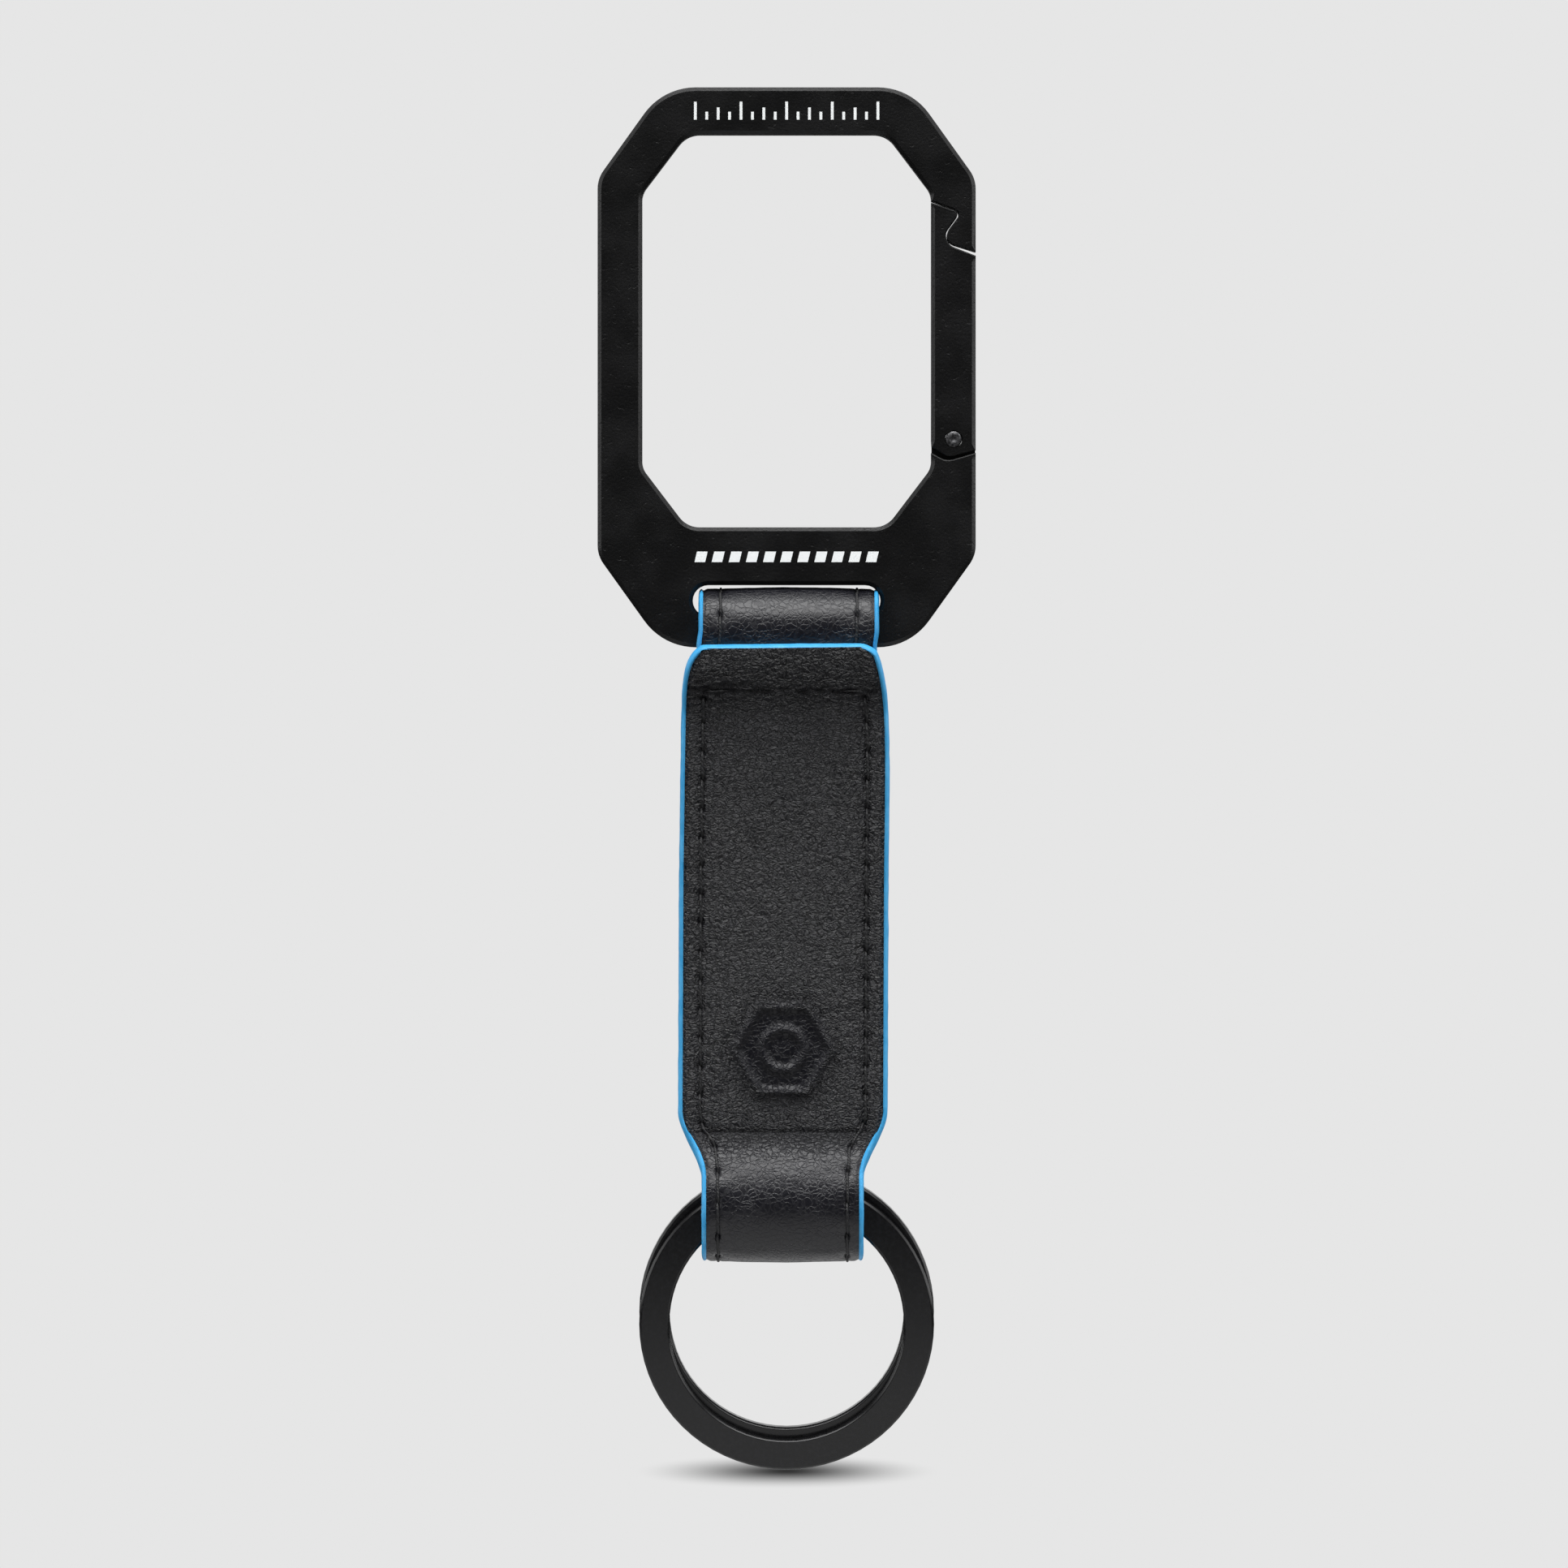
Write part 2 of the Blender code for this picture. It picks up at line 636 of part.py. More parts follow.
def build_side_seam(name, hand, finish, axis):
    """A line of thread on the grain side, from the cross seam down the front, round the
    lower loop, up the back and over the bar to the flap."""
    points, widths = strip_path()
    lift = STRIP / 2 + THREAD_LIFT + THREAD_RADIUS
    path = []
    for i, (point, half) in enumerate(zip(points, widths)):
        place = point + out_way(points, i) * lift
        path.append(Vector((hand * (half - SEAM_INSET), place.x, place.y)))
    start = next(i for i, p in enumerate(points) if p.y < THREAD_START_Z)
    end_y = UPPER_LOOP_RADIUS * math.cos(THREAD_END_ANGLE) + TOUCH
    end = next(i for i, p in enumerate(points) if p.x < end_y and p.y > BAR_Z)
    cord = tube(path[start:end + 1], THREAD_RADIUS, CORD_SIDES, Vector((1, 0, 0)))
    add_node(name, cord, finish, axis)


def build_cross_seam(finish, axis):
    points, _ = strip_path()
    lengths = path_lengths(points)
    above = next(i for i, p in enumerate(points) if points[i + 1].y < CROSS_SEAM_Z)
    t = (points[above].y - CROSS_SEAM_Z) / (points[above].y - points[above + 1].y)
    length = lengths[above] + t * (lengths[above + 1] - lengths[above])
    lift = STRIP / 2 + THREAD_LIFT + THREAD_RADIUS
    ends = (-CROSS_SEAM_HALF, 0, CROSS_SEAM_HALF)
    path = [on_strip(points, lengths, length, x, lift) for x in ends]
    cord = tube(path, THREAD_RADIUS, CORD_SIDES, Vector((0, 0, 1)))
    add_node("cross_seam_thread", cord, finish, axis)


# ---------------------------------------------------------------- split ring


def build_ring(finish, axis):
    """Two flat coils of one wire, which changes from the rear to the front at the top."""
    half = COIL_THICKNESS / 2
    c = RING_CHAMFER
    section = [
        (RING_INNER_RADIUS + c, -half), (RING_OUTER_RADIUS - c, -half),
        (RING_OUTER_RADIUS, c - half), (RING_OUTER_RADIUS, half - c),
        (RING_OUTER_RADIUS - c, half), (RING_INNER_RADIUS + c, half),
        (RING_INNER_RADIUS, half - c), (RING_INNER_RADIUS, c - half),
    ]
    coil_y = (COIL_THICKNESS + COIL_GAP) / 2
    start = RAMP_HALF
    total = 4 * math.pi - 2 * RAMP_HALF
    steps = round(total / (2 * math.pi) * RING_SIDES)
    rings = []
    for k in range(steps + 1):
        angle = start + total * k / steps
        crossing = (angle - (2 * math.pi - RAMP_HALF)) / (2 * RAMP_HALF)
        rearward = 1 - 2 * ease(crossing)
        centre_z = rearward * COIL_SHIFT / 2 - RING_DROP
        ring = []
        for radius, across in section:
            x = -radius * math.sin(angle)
            ring.append((x, coil_y * rearward + across, radius * math.cos(angle) + centre_z))
        rings.append(ring)
    add_node("split_ring", loft(rings), finish, axis, own_frame=True)


def build():
    for obj in list(bpy.data.objects):
        bpy.data.objects.remove(obj, do_unlink=True)
    anodised = material("anodised_black", (0.01, 0.01, 0.011), 0.42, 0.3)
    steel = material("steel", (0.32, 0.32, 0.33), 0.35, 1.0)
    leather = material("black_leather", (0.022, 0.022, 0.025), 0.5)
    lining = material("black_lining", (0.018, 0.018, 0.02), 0.65)
    tape = material("core_tape", (0.05, 0.05, 0.05), 0.8)
    paint = material("blue_edge_paint", (0.06, 0.33, 0.66), 0.4)
    thread = material("black_thread", (0.008, 0.008, 0.009), 0.7)
    gloss = material("gloss_black_steel", (0.012, 0.012, 0.013), 0.15, 0.5)

    gate_axis = axis_empty("gate_axis", (PIN_X, 0, PIN_Z))
    strap_axis = axis_empty("strap_axis", (0, 0, BAR_Z))
    ring_axis = axis_empty("ring_axis", (0, STACK_Y, LOWER_LOOP_Z), (RING_TILT, 0, 0))

    build_frame(anodised)
    build_gate(anodised, gate_axis)
    build_pin(steel)
    build_plunger(steel, gate_axis)
    build_spring(steel, gate_axis)
    ply_step = (LEATHER + CORE) / 2 + PLY_GAP
    build_ply("strap_outer_leather", ply_step, LEATHER, leather, strap_axis)
    build_ply("strap_core", 0, CORE, tape, strap_axis)
    build_ply("strap_lining", -ply_step, LEATHER, lining, strap_axis)
    build_edge_paint(paint, strap_axis)
    build_side_seam("seam_thread_left", -1, thread, strap_axis)
    build_side_seam("seam_thread_right", 1, thread, strap_axis)
    build_cross_seam(thread, strap_axis)
    build_ring(gloss, ring_axis)


build()
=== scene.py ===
"""Looks of the key organiser: leather, edge paint, stitches, anodised plate, split ring and
studio. The main places come from the frame's joints and boxes. Sizes are in millimetres
unless a comment says metres, and add_piece turns them into metres. The plate faces -Y, and
+Z is up."""

import json
import math

import bmesh
import bpy
import numpy as np
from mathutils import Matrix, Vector, noise


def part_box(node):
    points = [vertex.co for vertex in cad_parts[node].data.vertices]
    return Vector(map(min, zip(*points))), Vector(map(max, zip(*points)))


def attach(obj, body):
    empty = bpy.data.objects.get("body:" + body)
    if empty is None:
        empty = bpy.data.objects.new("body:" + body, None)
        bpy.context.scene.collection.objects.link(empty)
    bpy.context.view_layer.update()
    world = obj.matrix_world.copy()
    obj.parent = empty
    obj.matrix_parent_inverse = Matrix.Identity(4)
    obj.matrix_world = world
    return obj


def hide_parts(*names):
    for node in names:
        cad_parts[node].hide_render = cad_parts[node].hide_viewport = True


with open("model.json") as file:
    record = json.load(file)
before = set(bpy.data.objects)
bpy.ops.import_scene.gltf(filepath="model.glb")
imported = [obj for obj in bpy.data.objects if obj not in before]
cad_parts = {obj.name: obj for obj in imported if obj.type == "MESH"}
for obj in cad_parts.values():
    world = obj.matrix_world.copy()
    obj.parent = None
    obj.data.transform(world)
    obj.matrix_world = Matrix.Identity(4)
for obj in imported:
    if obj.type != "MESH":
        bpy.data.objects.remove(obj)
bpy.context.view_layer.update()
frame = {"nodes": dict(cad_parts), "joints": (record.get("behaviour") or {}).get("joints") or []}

MM = 0.001
NODES = frame["nodes"]
JOINTS = {joint["name"]: joint for joint in frame["joints"]}


def box_mm(node):
    low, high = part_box(node)
    return low / MM, high / MM


# ---------------------------------------------------------------- sizes from the frame

_, BAR_Y, BAR_Z = (value / MM for value in JOINTS["strap_swing"]["pos_m"])
_, STACK_Y, LOOP_Z = (value / MM for value in JOINTS["ring_swing"]["pos_m"])
STRAP_LOW, STRAP_HIGH = box_mm("edge_paint")
PLATE_LOW, PLATE_HIGH = box_mm("carabiner_frame")
RING_LOW, _ = box_mm("split_ring")
FLAP_TOP = PLATE_LOW.z + 0.25  # the flap ends just above the foot of the plate
STRIP = 1.8  # whole thickness of the doubled strip
LEATHER = 0.7
CORE = 0.3
PLY_GAP = 0.05
STACK_GAP = 0.06
PITCH = STRIP + STACK_GAP
FRONT_Y = STACK_Y - PITCH
BACK_Y = STACK_Y + PITCH
UPPER_RADIUS = STRAP_HIGH.z - BAR_Z - STRIP / 2
LOWER_RADIUS = LOOP_Z - STRAP_LOW.z - STRIP / 2
PANEL_HALF = STRAP_HIGH.x + 0.05
UPPER_HALF = 8.55  # half width round the bar
NECK_HALF = 7.66  # and in the loop that holds the ring
NECK_TOP, NECK_BOTTOM = -92.4, -98.8
SHOULDER_TOP, SHOULDER_BOTTOM = -50.5, -60.0
FOLD_Z = -55.0  # above this level the plies part to pass round the bar
CREASE_Z = -94.4
TAIL_END_Z = -94.2
CROSS_SEAM_Z = -52.4
PAINT = 0.42  # visible width of the painted rim
END_PAINT = 0.22  # and of the flap's upper end
SEAM_INSET = 2.1
NECK_SEAM_SHIFT = 0.55
STITCH_PITCH = 2.7
LEG_SKEW = 1.1  # above 1, the leg hangs upright under the bar before it leans in
BULGE_SKEW = 0.82  # below 1, the leather leans out most just under the crease
PATH_STEP = 0.1
STRETCHED = 0.92  # share of the grain that stretching smooths away
LEFT_CORNER, LEFT_CORNER_FALL = 1.9, 1.3  # how much the flap's end narrows, and how soon
RIGHT_CORNER, RIGHT_CORNER_FALL = 1.75, 3.2
RIGHT_NIP, RIGHT_NIP_FALL = 1.1, 0.9
END_SLANT, END_SLANT_REACH = 0.01, 3.0  # the flap's end is cut a touch out of square
SHARP_DEGREES = 50


# ---------------------------------------------------------------- strip of leather


def ease(t):
    t = np.clip(t, 0, 1)
    return t * t * (3 - 2 * t)


def bend(start, end, skew=1.0):
    """Points (y, z) that leave start and reach end upright."""
    count = max(8, int(math.dist(start, end) / PATH_STEP))
    t = np.linspace(0, 1, count)
    y = start[0] + (end[0] - start[0]) * ease(t ** skew)
    return np.column_stack([y, start[1] + (end[1] - start[1]) * t])


def half_turn(centre_y, centre_z, radius, start_angle):
    count = int(math.pi * radius / PATH_STEP)
    angle = start_angle + np.linspace(0, math.pi, count)
    return np.column_stack([centre_y + radius * np.cos(angle), centre_z + radius * np.sin(angle)])


def straight(y, start, end):
    z = np.linspace(start, end, max(2, int(abs(end - start) / PATH_STEP)))
    return np.column_stack([np.full(len(z), y), z])


def out_ways(points):
    ways = np.gradient(points, axis=0)
    ways /= np.linalg.norm(ways, axis=1)[:, None]
    return np.column_stack([ways[:, 1], -ways[:, 0]])


class Strip:
    """The middle line of the folded strip, and where a place on it lies in space."""

    def __init__(self):
        leg = bend((BAR_Y - UPPER_RADIUS, BAR_Z), (STACK_Y, FOLD_Z), LEG_SKEW)
        flap = leg + out_ways(leg) * PITCH
        flap = flap[flap[:, 1] < FLAP_TOP]
        runs = {
            "flap": flap,
            "front": straight(FRONT_Y, FOLD_Z, CREASE_Z),
            "bulge": bend((FRONT_Y, CREASE_Z), (STACK_Y - LOWER_RADIUS, LOOP_Z), BULGE_SKEW),
            "loop": half_turn(STACK_Y, LOOP_Z, LOWER_RADIUS, math.pi),
            "rise": bend((STACK_Y + LOWER_RADIUS, LOOP_Z), (BACK_Y, CREASE_Z)),
            "back": straight(BACK_Y, CREASE_Z, FOLD_Z),
            "climb": bend((BACK_Y, FOLD_Z), (BAR_Y + UPPER_RADIUS, BAR_Z)),
            "over": half_turn(BAR_Y, BAR_Z, UPPER_RADIUS, 0),
            "leg": leg,
            "tail": straight(STACK_Y, FOLD_Z, TAIL_END_Z),
        }
        points, self.start = [], {}
        for name, run in runs.items():
            run = run if not points else run[1:]
            self.start[name] = sum(len(part) for part in points)
            points.append(run)
        self.points = np.vstack(points)
        steps = np.linalg.norm(np.diff(self.points, axis=0), axis=1)
        self.lengths = np.concatenate([[0], np.cumsum(steps)])
        self.outs = out_ways(self.points)
        self.total = self.lengths[-1]

    def at(self, run):
        """The length at which a run starts."""
        return self.lengths[self.start[run]]

    def level(self, length):
        return np.interp(length, self.lengths, self.points[:, 1])

    def find(self, run, z):
        """The length at which a run passes a level."""
        first = self.start[run]
        later = [i for i in self.start.values() if i > first]
        last = min(later) if later else len(self.points)
        nearest = first + np.argmin(abs(self.points[first:last, 1] - z))
        return self.lengths[nearest]

    def half_width(self, length, hand):
        """From the middle to the rim. hand is -1 for the left side and 1 for the right."""
        z = self.level(length)
        neck = (PANEL_HALF - NECK_HALF) * ease((NECK_TOP - z) / (NECK_TOP - NECK_BOTTOM))
        shoulder = ease((SHOULDER_TOP - z) / (SHOULDER_TOP - SHOULDER_BOTTOM))
        body = UPPER_HALF + (PANEL_HALF - UPPER_HALF) * shoulder
        fall = np.maximum(FLAP_TOP - z, 0)
        left = PANEL_HALF - LEFT_CORNER * np.exp(-fall / LEFT_CORNER_FALL)
        nip = RIGHT_NIP * np.maximum(0, 1 - fall / RIGHT_NIP_FALL) ** 2
        right = PANEL_HALF - RIGHT_CORNER * np.exp(-fall / RIGHT_CORNER_FALL) - nip
        flap = np.where(hand < 0, left, right)
        return np.where(length < self.at("bulge"), flap, body) - neck

    def place(self, length, across, out):
        """A place on the strip as points in the object's frame."""
        length = length - END_SLANT * across * np.exp(-length / END_SLANT_REACH)
        y = np.interp(length, self.lengths, self.points[:, 0])
        z = np.interp(length, self.lengths, self.points[:, 1])
        out_y = np.interp(length, self.lengths, self.outs[:, 0])
        out_z = np.interp(length, self.lengths, self.outs[:, 1])
        return np.stack([across + askew(z), y + out_y * out, z + out_z * out], axis=-1)


# Levels from the loop up to the bar, each with its sideways shift
ASKEW = (
    (LOOP_Z - 5, -0.38), (NECK_BOTTOM, -0.38), (NECK_TOP, -0.36),
    (-70.0, -0.27), (FLAP_TOP, 0.03), (BAR_Z, 0.2),
)


def askew(z):
    """The hand-sewn strap hangs a little askew: its sideways shift at a level."""
    levels, shifts = zip(*ASKEW)
    return np.interp(z, levels, shifts)


STRIP_LINE = Strip()


def perlin(x, y, seed=0.0):
    """Smooth noise, about -1 to 1, on arrays of places. Each seed gives other noise."""
    x, y = np.broadcast_arrays(x, y)
    flat = [noise.noise(Vector((a, b, seed))) for a, b in zip(x.ravel(), y.ravel())]
    return np.reshape(flat, x.shape)


def bump_at(distance, width):
    return np.exp(-(distance / width) ** 2)


def seam_from_middle(half):
    """The side seams lie closer to the rim where the strap is narrow."""
    narrowed = ease((UPPER_HALF - half) / (UPPER_HALF - NECK_HALF))
    return half - SEAM_INSET + NECK_SEAM_SHIFT * narrowed


FIRST_HOLE = 0.8  # past the cross seam
LAST_HOLE = 2.0  # down the leg, past the bar


def stitch_places():
    """Lengths of the needle holes along each side seam."""
    first = STRIP_LINE.find("flap", CROSS_SEAM_Z) + FIRST_HOLE
    last = STRIP_LINE.at("leg") + LAST_HOLE
    return np.arange(first, last, STITCH_PITCH)


def distance_to_outline(x, z, corners):
    """Distance from places to a closed outline of straight sides."""
    nearest = np.full(np.shape(x), np.inf)
    for (ax, az), (bx, bz) in zip(corners, np.roll(corners, -1, axis=0)):
        way = np.array([bx - ax, bz - az])
        t = np.clip(((x - ax) * way[0] + (z - az) * way[1]) / (way @ way), 0, 1)
        nearest = np.minimum(nearest, np.hypot(x - ax - t * way[0], z - az - t * way[1]))
    return nearest


EMBOSS_Z = -86.6
EMBOSS_RADIUS = 4.6
EMBOSS_CIRCLE = 0.42  # radius of the circle as a share of the hexagon's
EMBOSS_RIDGE = 0.48
EMBOSS_HEIGHT = 0.54
EMBOSS_HOLLOW = 2.3  # width of the pressed hollow, in ridge widths
EMBOSS_DEPTH = 0.26


def emboss(across, z):
    """A raised hexagon round a raised circle, pressed into the front panel."""
    angle = np.arange(6) * math.pi / 3
    corners = EMBOSS_RADIUS * np.column_stack([np.cos(angle), np.sin(angle)]) + [0, EMBOSS_Z]
    hexagon = distance_to_outline(across, z, corners)
    circle = abs(np.hypot(across, z - EMBOSS_Z) - EMBOSS_RADIUS * EMBOSS_CIRCLE)
    near = np.minimum(hexagon, circle)
    ridge = EMBOSS_HEIGHT * bump_at(near, EMBOSS_RIDGE)
    pressed = EMBOSS_DEPTH * bump_at(near, EMBOSS_RIDGE * EMBOSS_HOLLOW)
    return ridge - pressed


FIELD_SWELL = 0.16
GROOVE_DEPTH, GROOVE_WIDTH = 0.06, 0.24
HOLE_DEPTH, HOLE_WIDTH, HOLE_LENGTH = 0.36, 0.22, 0.3
PUCKER_HEIGHT, PUCKER_REACH = 0.05, 1.0
CROSS_DEPTH, CROSS_WIDTH = 0.24, 0.22
CROSS_OVERRUN = 1.2  # how far the cross seam runs on past the side seams
CROSS_FOLDS, CROSS_FOLDS_REACH = 0.12, 1.4
CRUMPLE, CRUMPLE_X, CRUMPLE_WIDTH = 0.16, -6.8, 2.2  # deeper folds near the left end
CREASE_DEPTH, CREASE_WIDTH = 0.16, 0.25
CREASE_FADE = 1.5  # the crease fades out this far from the rim
WRINKLE_HEIGHT, WRINKLE_REACH = 0.04, 3
RIM_TURN, RIM_TURN_WIDTH = 0.16, 0.45


def side_seam_relief(length, across, seam):
    """Grooves, needle holes and puckers of the side seams."""
    holes = stitch_places()
    sewn = (length > holes[0] - 1) & (length < holes[-1] + 1)
    from_seam = abs(across) - seam
    phase = (length - holes[0]) / STITCH_PITCH
    to_hole = (phase - np.round(phase)) * STITCH_PITCH
    tension = 0.75 + 0.25 * perlin(length * 0.5, np.sign(across) * 4.0, seed=9.0)
    near_hole = np.exp(-(from_seam / HOLE_WIDTH) ** 2 - (to_hole / HOLE_LENGTH) ** 2)
    groove = -GROOVE_DEPTH * bump_at(from_seam, GROOVE_WIDTH)
    hole = -HOLE_DEPTH * tension * near_hole
    pucker = PUCKER_HEIGHT * np.cos(2 * math.pi * phase) * bump_at(from_seam, PUCKER_REACH)
    return np.where(sewn, groove + hole - pucker, 0)


def cross_seam_wander(across):
    """How far the hand-sewn cross seam strays from its straight line."""
    return 0.3 * perlin(across * 0.45, 0.0, seed=3.0)


def cross_seam_pull(length, across, from_cross):
    """The uneven line that the cross seam's thread draws in."""
    gather = np.clip(0.45 + 1.3 * perlin(across * 0.9, length * 0.3, seed=7.0), 0, 1.2)
    return -CROSS_DEPTH * gather * bump_at(from_cross, CROSS_WIDTH)


def cross_seam_folds(length, across, from_cross):
    folds = perlin(across * 0.9, length * 2.6, seed=11.0)
    crumpled = CROSS_FOLDS + CRUMPLE * bump_at(across - CRUMPLE_X, CRUMPLE_WIDTH)
    return crumpled * folds * bump_at(from_cross, CROSS_FOLDS_REACH)


def relief(length, across, half):
    """How far the grain side stands above the flat leather: seams, creases and puckers."""
    z = STRIP_LINE.level(length)
    on_front = length < STRIP_LINE.at("bulge") + 1
    from_rim = half - abs(across)
    height = 0.03 * perlin(across * 0.35, length * 0.35)
    height += 0.018 * perlin(across * 1.1, length * 1.1, seed=5.0)
    # The field between the side seams swells a little.
    seam = seam_from_middle(half + PAINT)
    height += FIELD_SWELL * np.clip(1 - (across / seam) ** 2, 0, 1)
    height += side_seam_relief(length, across, seam)
    from_cross = length - STRIP_LINE.find("flap", CROSS_SEAM_Z) - cross_seam_wander(across)
    reached = abs(across) < seam + CROSS_OVERRUN
    height += cross_seam_pull(length, across, from_cross) * reached
    height += cross_seam_folds(length, across, from_cross) * on_front
    # The crease where the tucked end stops, with fine wrinkles above it
    crease = STRIP_LINE.find("front", CREASE_Z) + 0.2 * perlin(across * 0.3, 1.0, seed=2.0)
    from_crease = length - crease
    height -= CREASE_DEPTH * bump_at(from_crease, CREASE_WIDTH) * ease(from_rim / CREASE_FADE)
    wrinkles = WRINKLE_HEIGHT * perlin(across * 0.5, length * 2.2, seed=13.0)
    height += wrinkles * bump_at(from_crease + WRINKLE_REACH, WRINKLE_REACH)
    height += np.where(on_front, emboss(across, z), 0)
    # The cut edge turns down under the paint.
    height -= RIM_TURN * (1 - ease(from_rim / RIM_TURN_WIDTH))
    return height


# ---------------------------------------------------------------- mesh helpers


def add_piece(name, points, faces, material, body, uvs=None, slot=None, replaces=(), smooth=True):
    mesh = bpy.data.meshes.new(name)
    mesh.from_pydata((np.asarray(points) * MM).tolist(), [], faces)
    if uvs is not None:
        layer = mesh.uv_layers.new(name="strip")
        corner_vertex = np.empty(len(mesh.loops), dtype=np.int32)
        mesh.loops.foreach_get("vertex_index", corner_vertex)
        layer.data.foreach_set("uv", np.asarray(uvs, dtype=np.float32)[corner_vertex].ravel())
    bm = bmesh.new()
    bm.from_mesh(mesh)
    bmesh.ops.recalc_face_normals(bm, faces=bm.faces)
    bm.to_mesh(mesh)
    bm.free()
    if smooth:
        mesh.shade_smooth()
        mesh.set_sharp_from_angle(angle=math.radians(SHARP_DEGREES))
    mesh.materials.append(material)
    piece = bpy.data.objects.new(name, mesh)
    bpy.context.scene.collection.objects.link(piece)
    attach(piece, body)
    if replaces:
        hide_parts(*replaces)
    return piece


def skin_faces(rings, size, closed_ends=True):
    """Faces between neighbouring rings of `size` points, with flat ends."""
    near = np.arange(rings - 1)[:, None] * size + np.arange(size)
    far = near + size
    quads = np.stack([near, np.roll(near, -1, 1), np.roll(far, -1, 1), far], axis=-1)
    faces = quads.reshape(-1, 4).tolist()
    if closed_ends:
        faces.append(list(range(size)))
        faces.append(list(range((rings - 1) * size, rings * size)))
    return faces


def stations(tip, first, stretches):
    """Lengths along the strip: those at the flap's tip, then from first on at an even pitch
    in each stretch, given as its end and its pitch."""
    lengths = [tip]
    for end, pitch in stretches:
        lengths.append(np.arange(first, end, pitch))
        first = end
    return np.concatenate([*lengths, [first]])


def strip_rows():
    """Lengths of the leather's rows: fine where the front is seen, coarse inside the stack."""
    line = STRIP_LINE
    return stations(np.linspace(END_PAINT, 2.4, 24), 2.5, [
        (line.at("bulge"), 0.17), (line.at("rise"), 0.22), (line.at("climb"), 0.4),
        (line.at("tail"), 0.22), (line.total, 1.2),
    ])


def ply(name, top, thickness, material, columns, rows, with_relief=False, **extra):
    """One ply of the strip as a closed solid, with its upper face at `top`."""
    left = STRIP_LINE.half_width(rows, -1) - PAINT
    right = STRIP_LINE.half_width(rows, 1) - PAINT
    u = np.linspace(0, 1, columns)
    across = -left[:, None] + (left + right)[:, None] * u
    length = np.repeat(rows[:, None], columns, axis=1)
    half = np.where(across < 0, left[:, None], right[:, None])
    raised = relief(length, across, half) if with_relief else np.zeros_like(across)
    upper = STRIP_LINE.place(length, across, top + raised)
    ends = across[:, [-1, 0]]
    lower = STRIP_LINE.place(length[:, :2], ends, np.full_like(ends, top - thickness))
    rings = np.concatenate([upper, lower], axis=1)
    flat_across = np.concatenate([across, ends], axis=1)
    flat_length = np.repeat(rows[:, None], columns + 2, axis=1)
    uvs = np.stack([flat_across, flat_length], axis=-1).reshape(-1, 2)
    faces = skin_faces(len(rows), columns + 2)
    return add_piece(name, rings.reshape(-1, 3), faces, material, "strap", uvs=uvs, **extra)


BEAD_STEPS = 10
BEAD_BULGE = 0.3  # how far the dome of paint stands out
BEAD_FULLNESS = 0.7  # below 1, the dome is fuller than a circle's arc
BEAD_UNEVEN = 0.12
BEAD_WAVE = 0.025
BEAD_LAP = 0.02  # how far the paint reaches into the leather
BEAD_TUCK = 0.12  # its inner corners lie this far below the strip's faces
CORNER_PASSES = 3
CORNER_REACH = 1.5


def rim_line(lengths):
    """Places (length, across) up one side of the strip, across the flap and down the other."""
    right = np.column_stack([lengths, STRIP_LINE.half_width(lengths, 1)])
    left = np.column_stack([lengths, -STRIP_LINE.half_width(lengths, -1)])
    end = np.linspace(left[0, 1], right[0, 1], 60)[1:-1]
    flap_end = np.column_stack([np.zeros(len(end)), end])
    rim = np.vstack([left[::-1], flap_end, right])
    for _ in range(CORNER_PASSES):  # rounds the corners of the flap
        middle = (rim[:-2] + rim[2:]) / 2
        near_tip = np.exp(-rim[1:-1, 0] / CORNER_REACH)[:, None]
        rim[1:-1] += (middle - rim[1:-1]) * 0.5 * near_tip
    return rim


def edge_bead(material):
    """The domed coat of paint all along the rim."""
    line = STRIP_LINE
    rim = rim_line(stations(np.linspace(0, 1.6, 26), 1.7, [
        (line.at("rise"), 0.25), (line.at("climb"), 0.5), (line.at("tail"), 0.25),
        (line.total, 1.0),
    ]))
    ways = np.gradient(rim, axis=0)
    ways /= np.linalg.norm(ways, axis=1)[:, None]
    sides = np.column_stack([-ways[:, 1], ways[:, 0]])  # away from the leather
    travelled = np.concatenate([[0], np.cumsum(np.linalg.norm(np.diff(rim, axis=0), axis=1))])
    angle = np.linspace(-math.pi / 2, math.pi / 2, BEAD_STEPS)
    bulge = BEAD_BULGE * np.cos(angle) ** BEAD_FULLNESS
    dome = (STRIP / 2 - 0.01) * np.sin(angle)
    hand = 1 + BEAD_UNEVEN * perlin(travelled * 0.4, 0.0, seed=21.0)
    wave = BEAD_WAVE * perlin(travelled * 0.8, 0.0, seed=17.0)
    outward = -BEAD_BULGE + wave[:, None] + bulge * hand[:, None]
    width = PAINT + BEAD_LAP - (PAINT - END_PAINT) * ease(1 - rim[:, 0] / 0.4)
    inner = np.repeat(-width[:, None], 2, axis=1)
    outward = np.hstack([outward, inner])
    corner = STRIP / 2 - BEAD_TUCK
    height = np.tile([*dome, corner, -corner], (len(rim), 1))
    where = rim[:, None, :] + sides[:, None, :] * outward[..., None]
    points = line.place(np.maximum(where[..., 0], 0.0), where[..., 1], height)
    faces = skin_faces(len(rim), BEAD_STEPS + 2)
    return add_piece(
        "painted_edge", points.reshape(-1, 3), faces, material, "strap",
        slot="blue_edge_paint", replaces=["edge_paint"],
    )


NO_CORD_WAY = np.array([1.0, 0.13, 0.07])  # a direction that no cord runs in


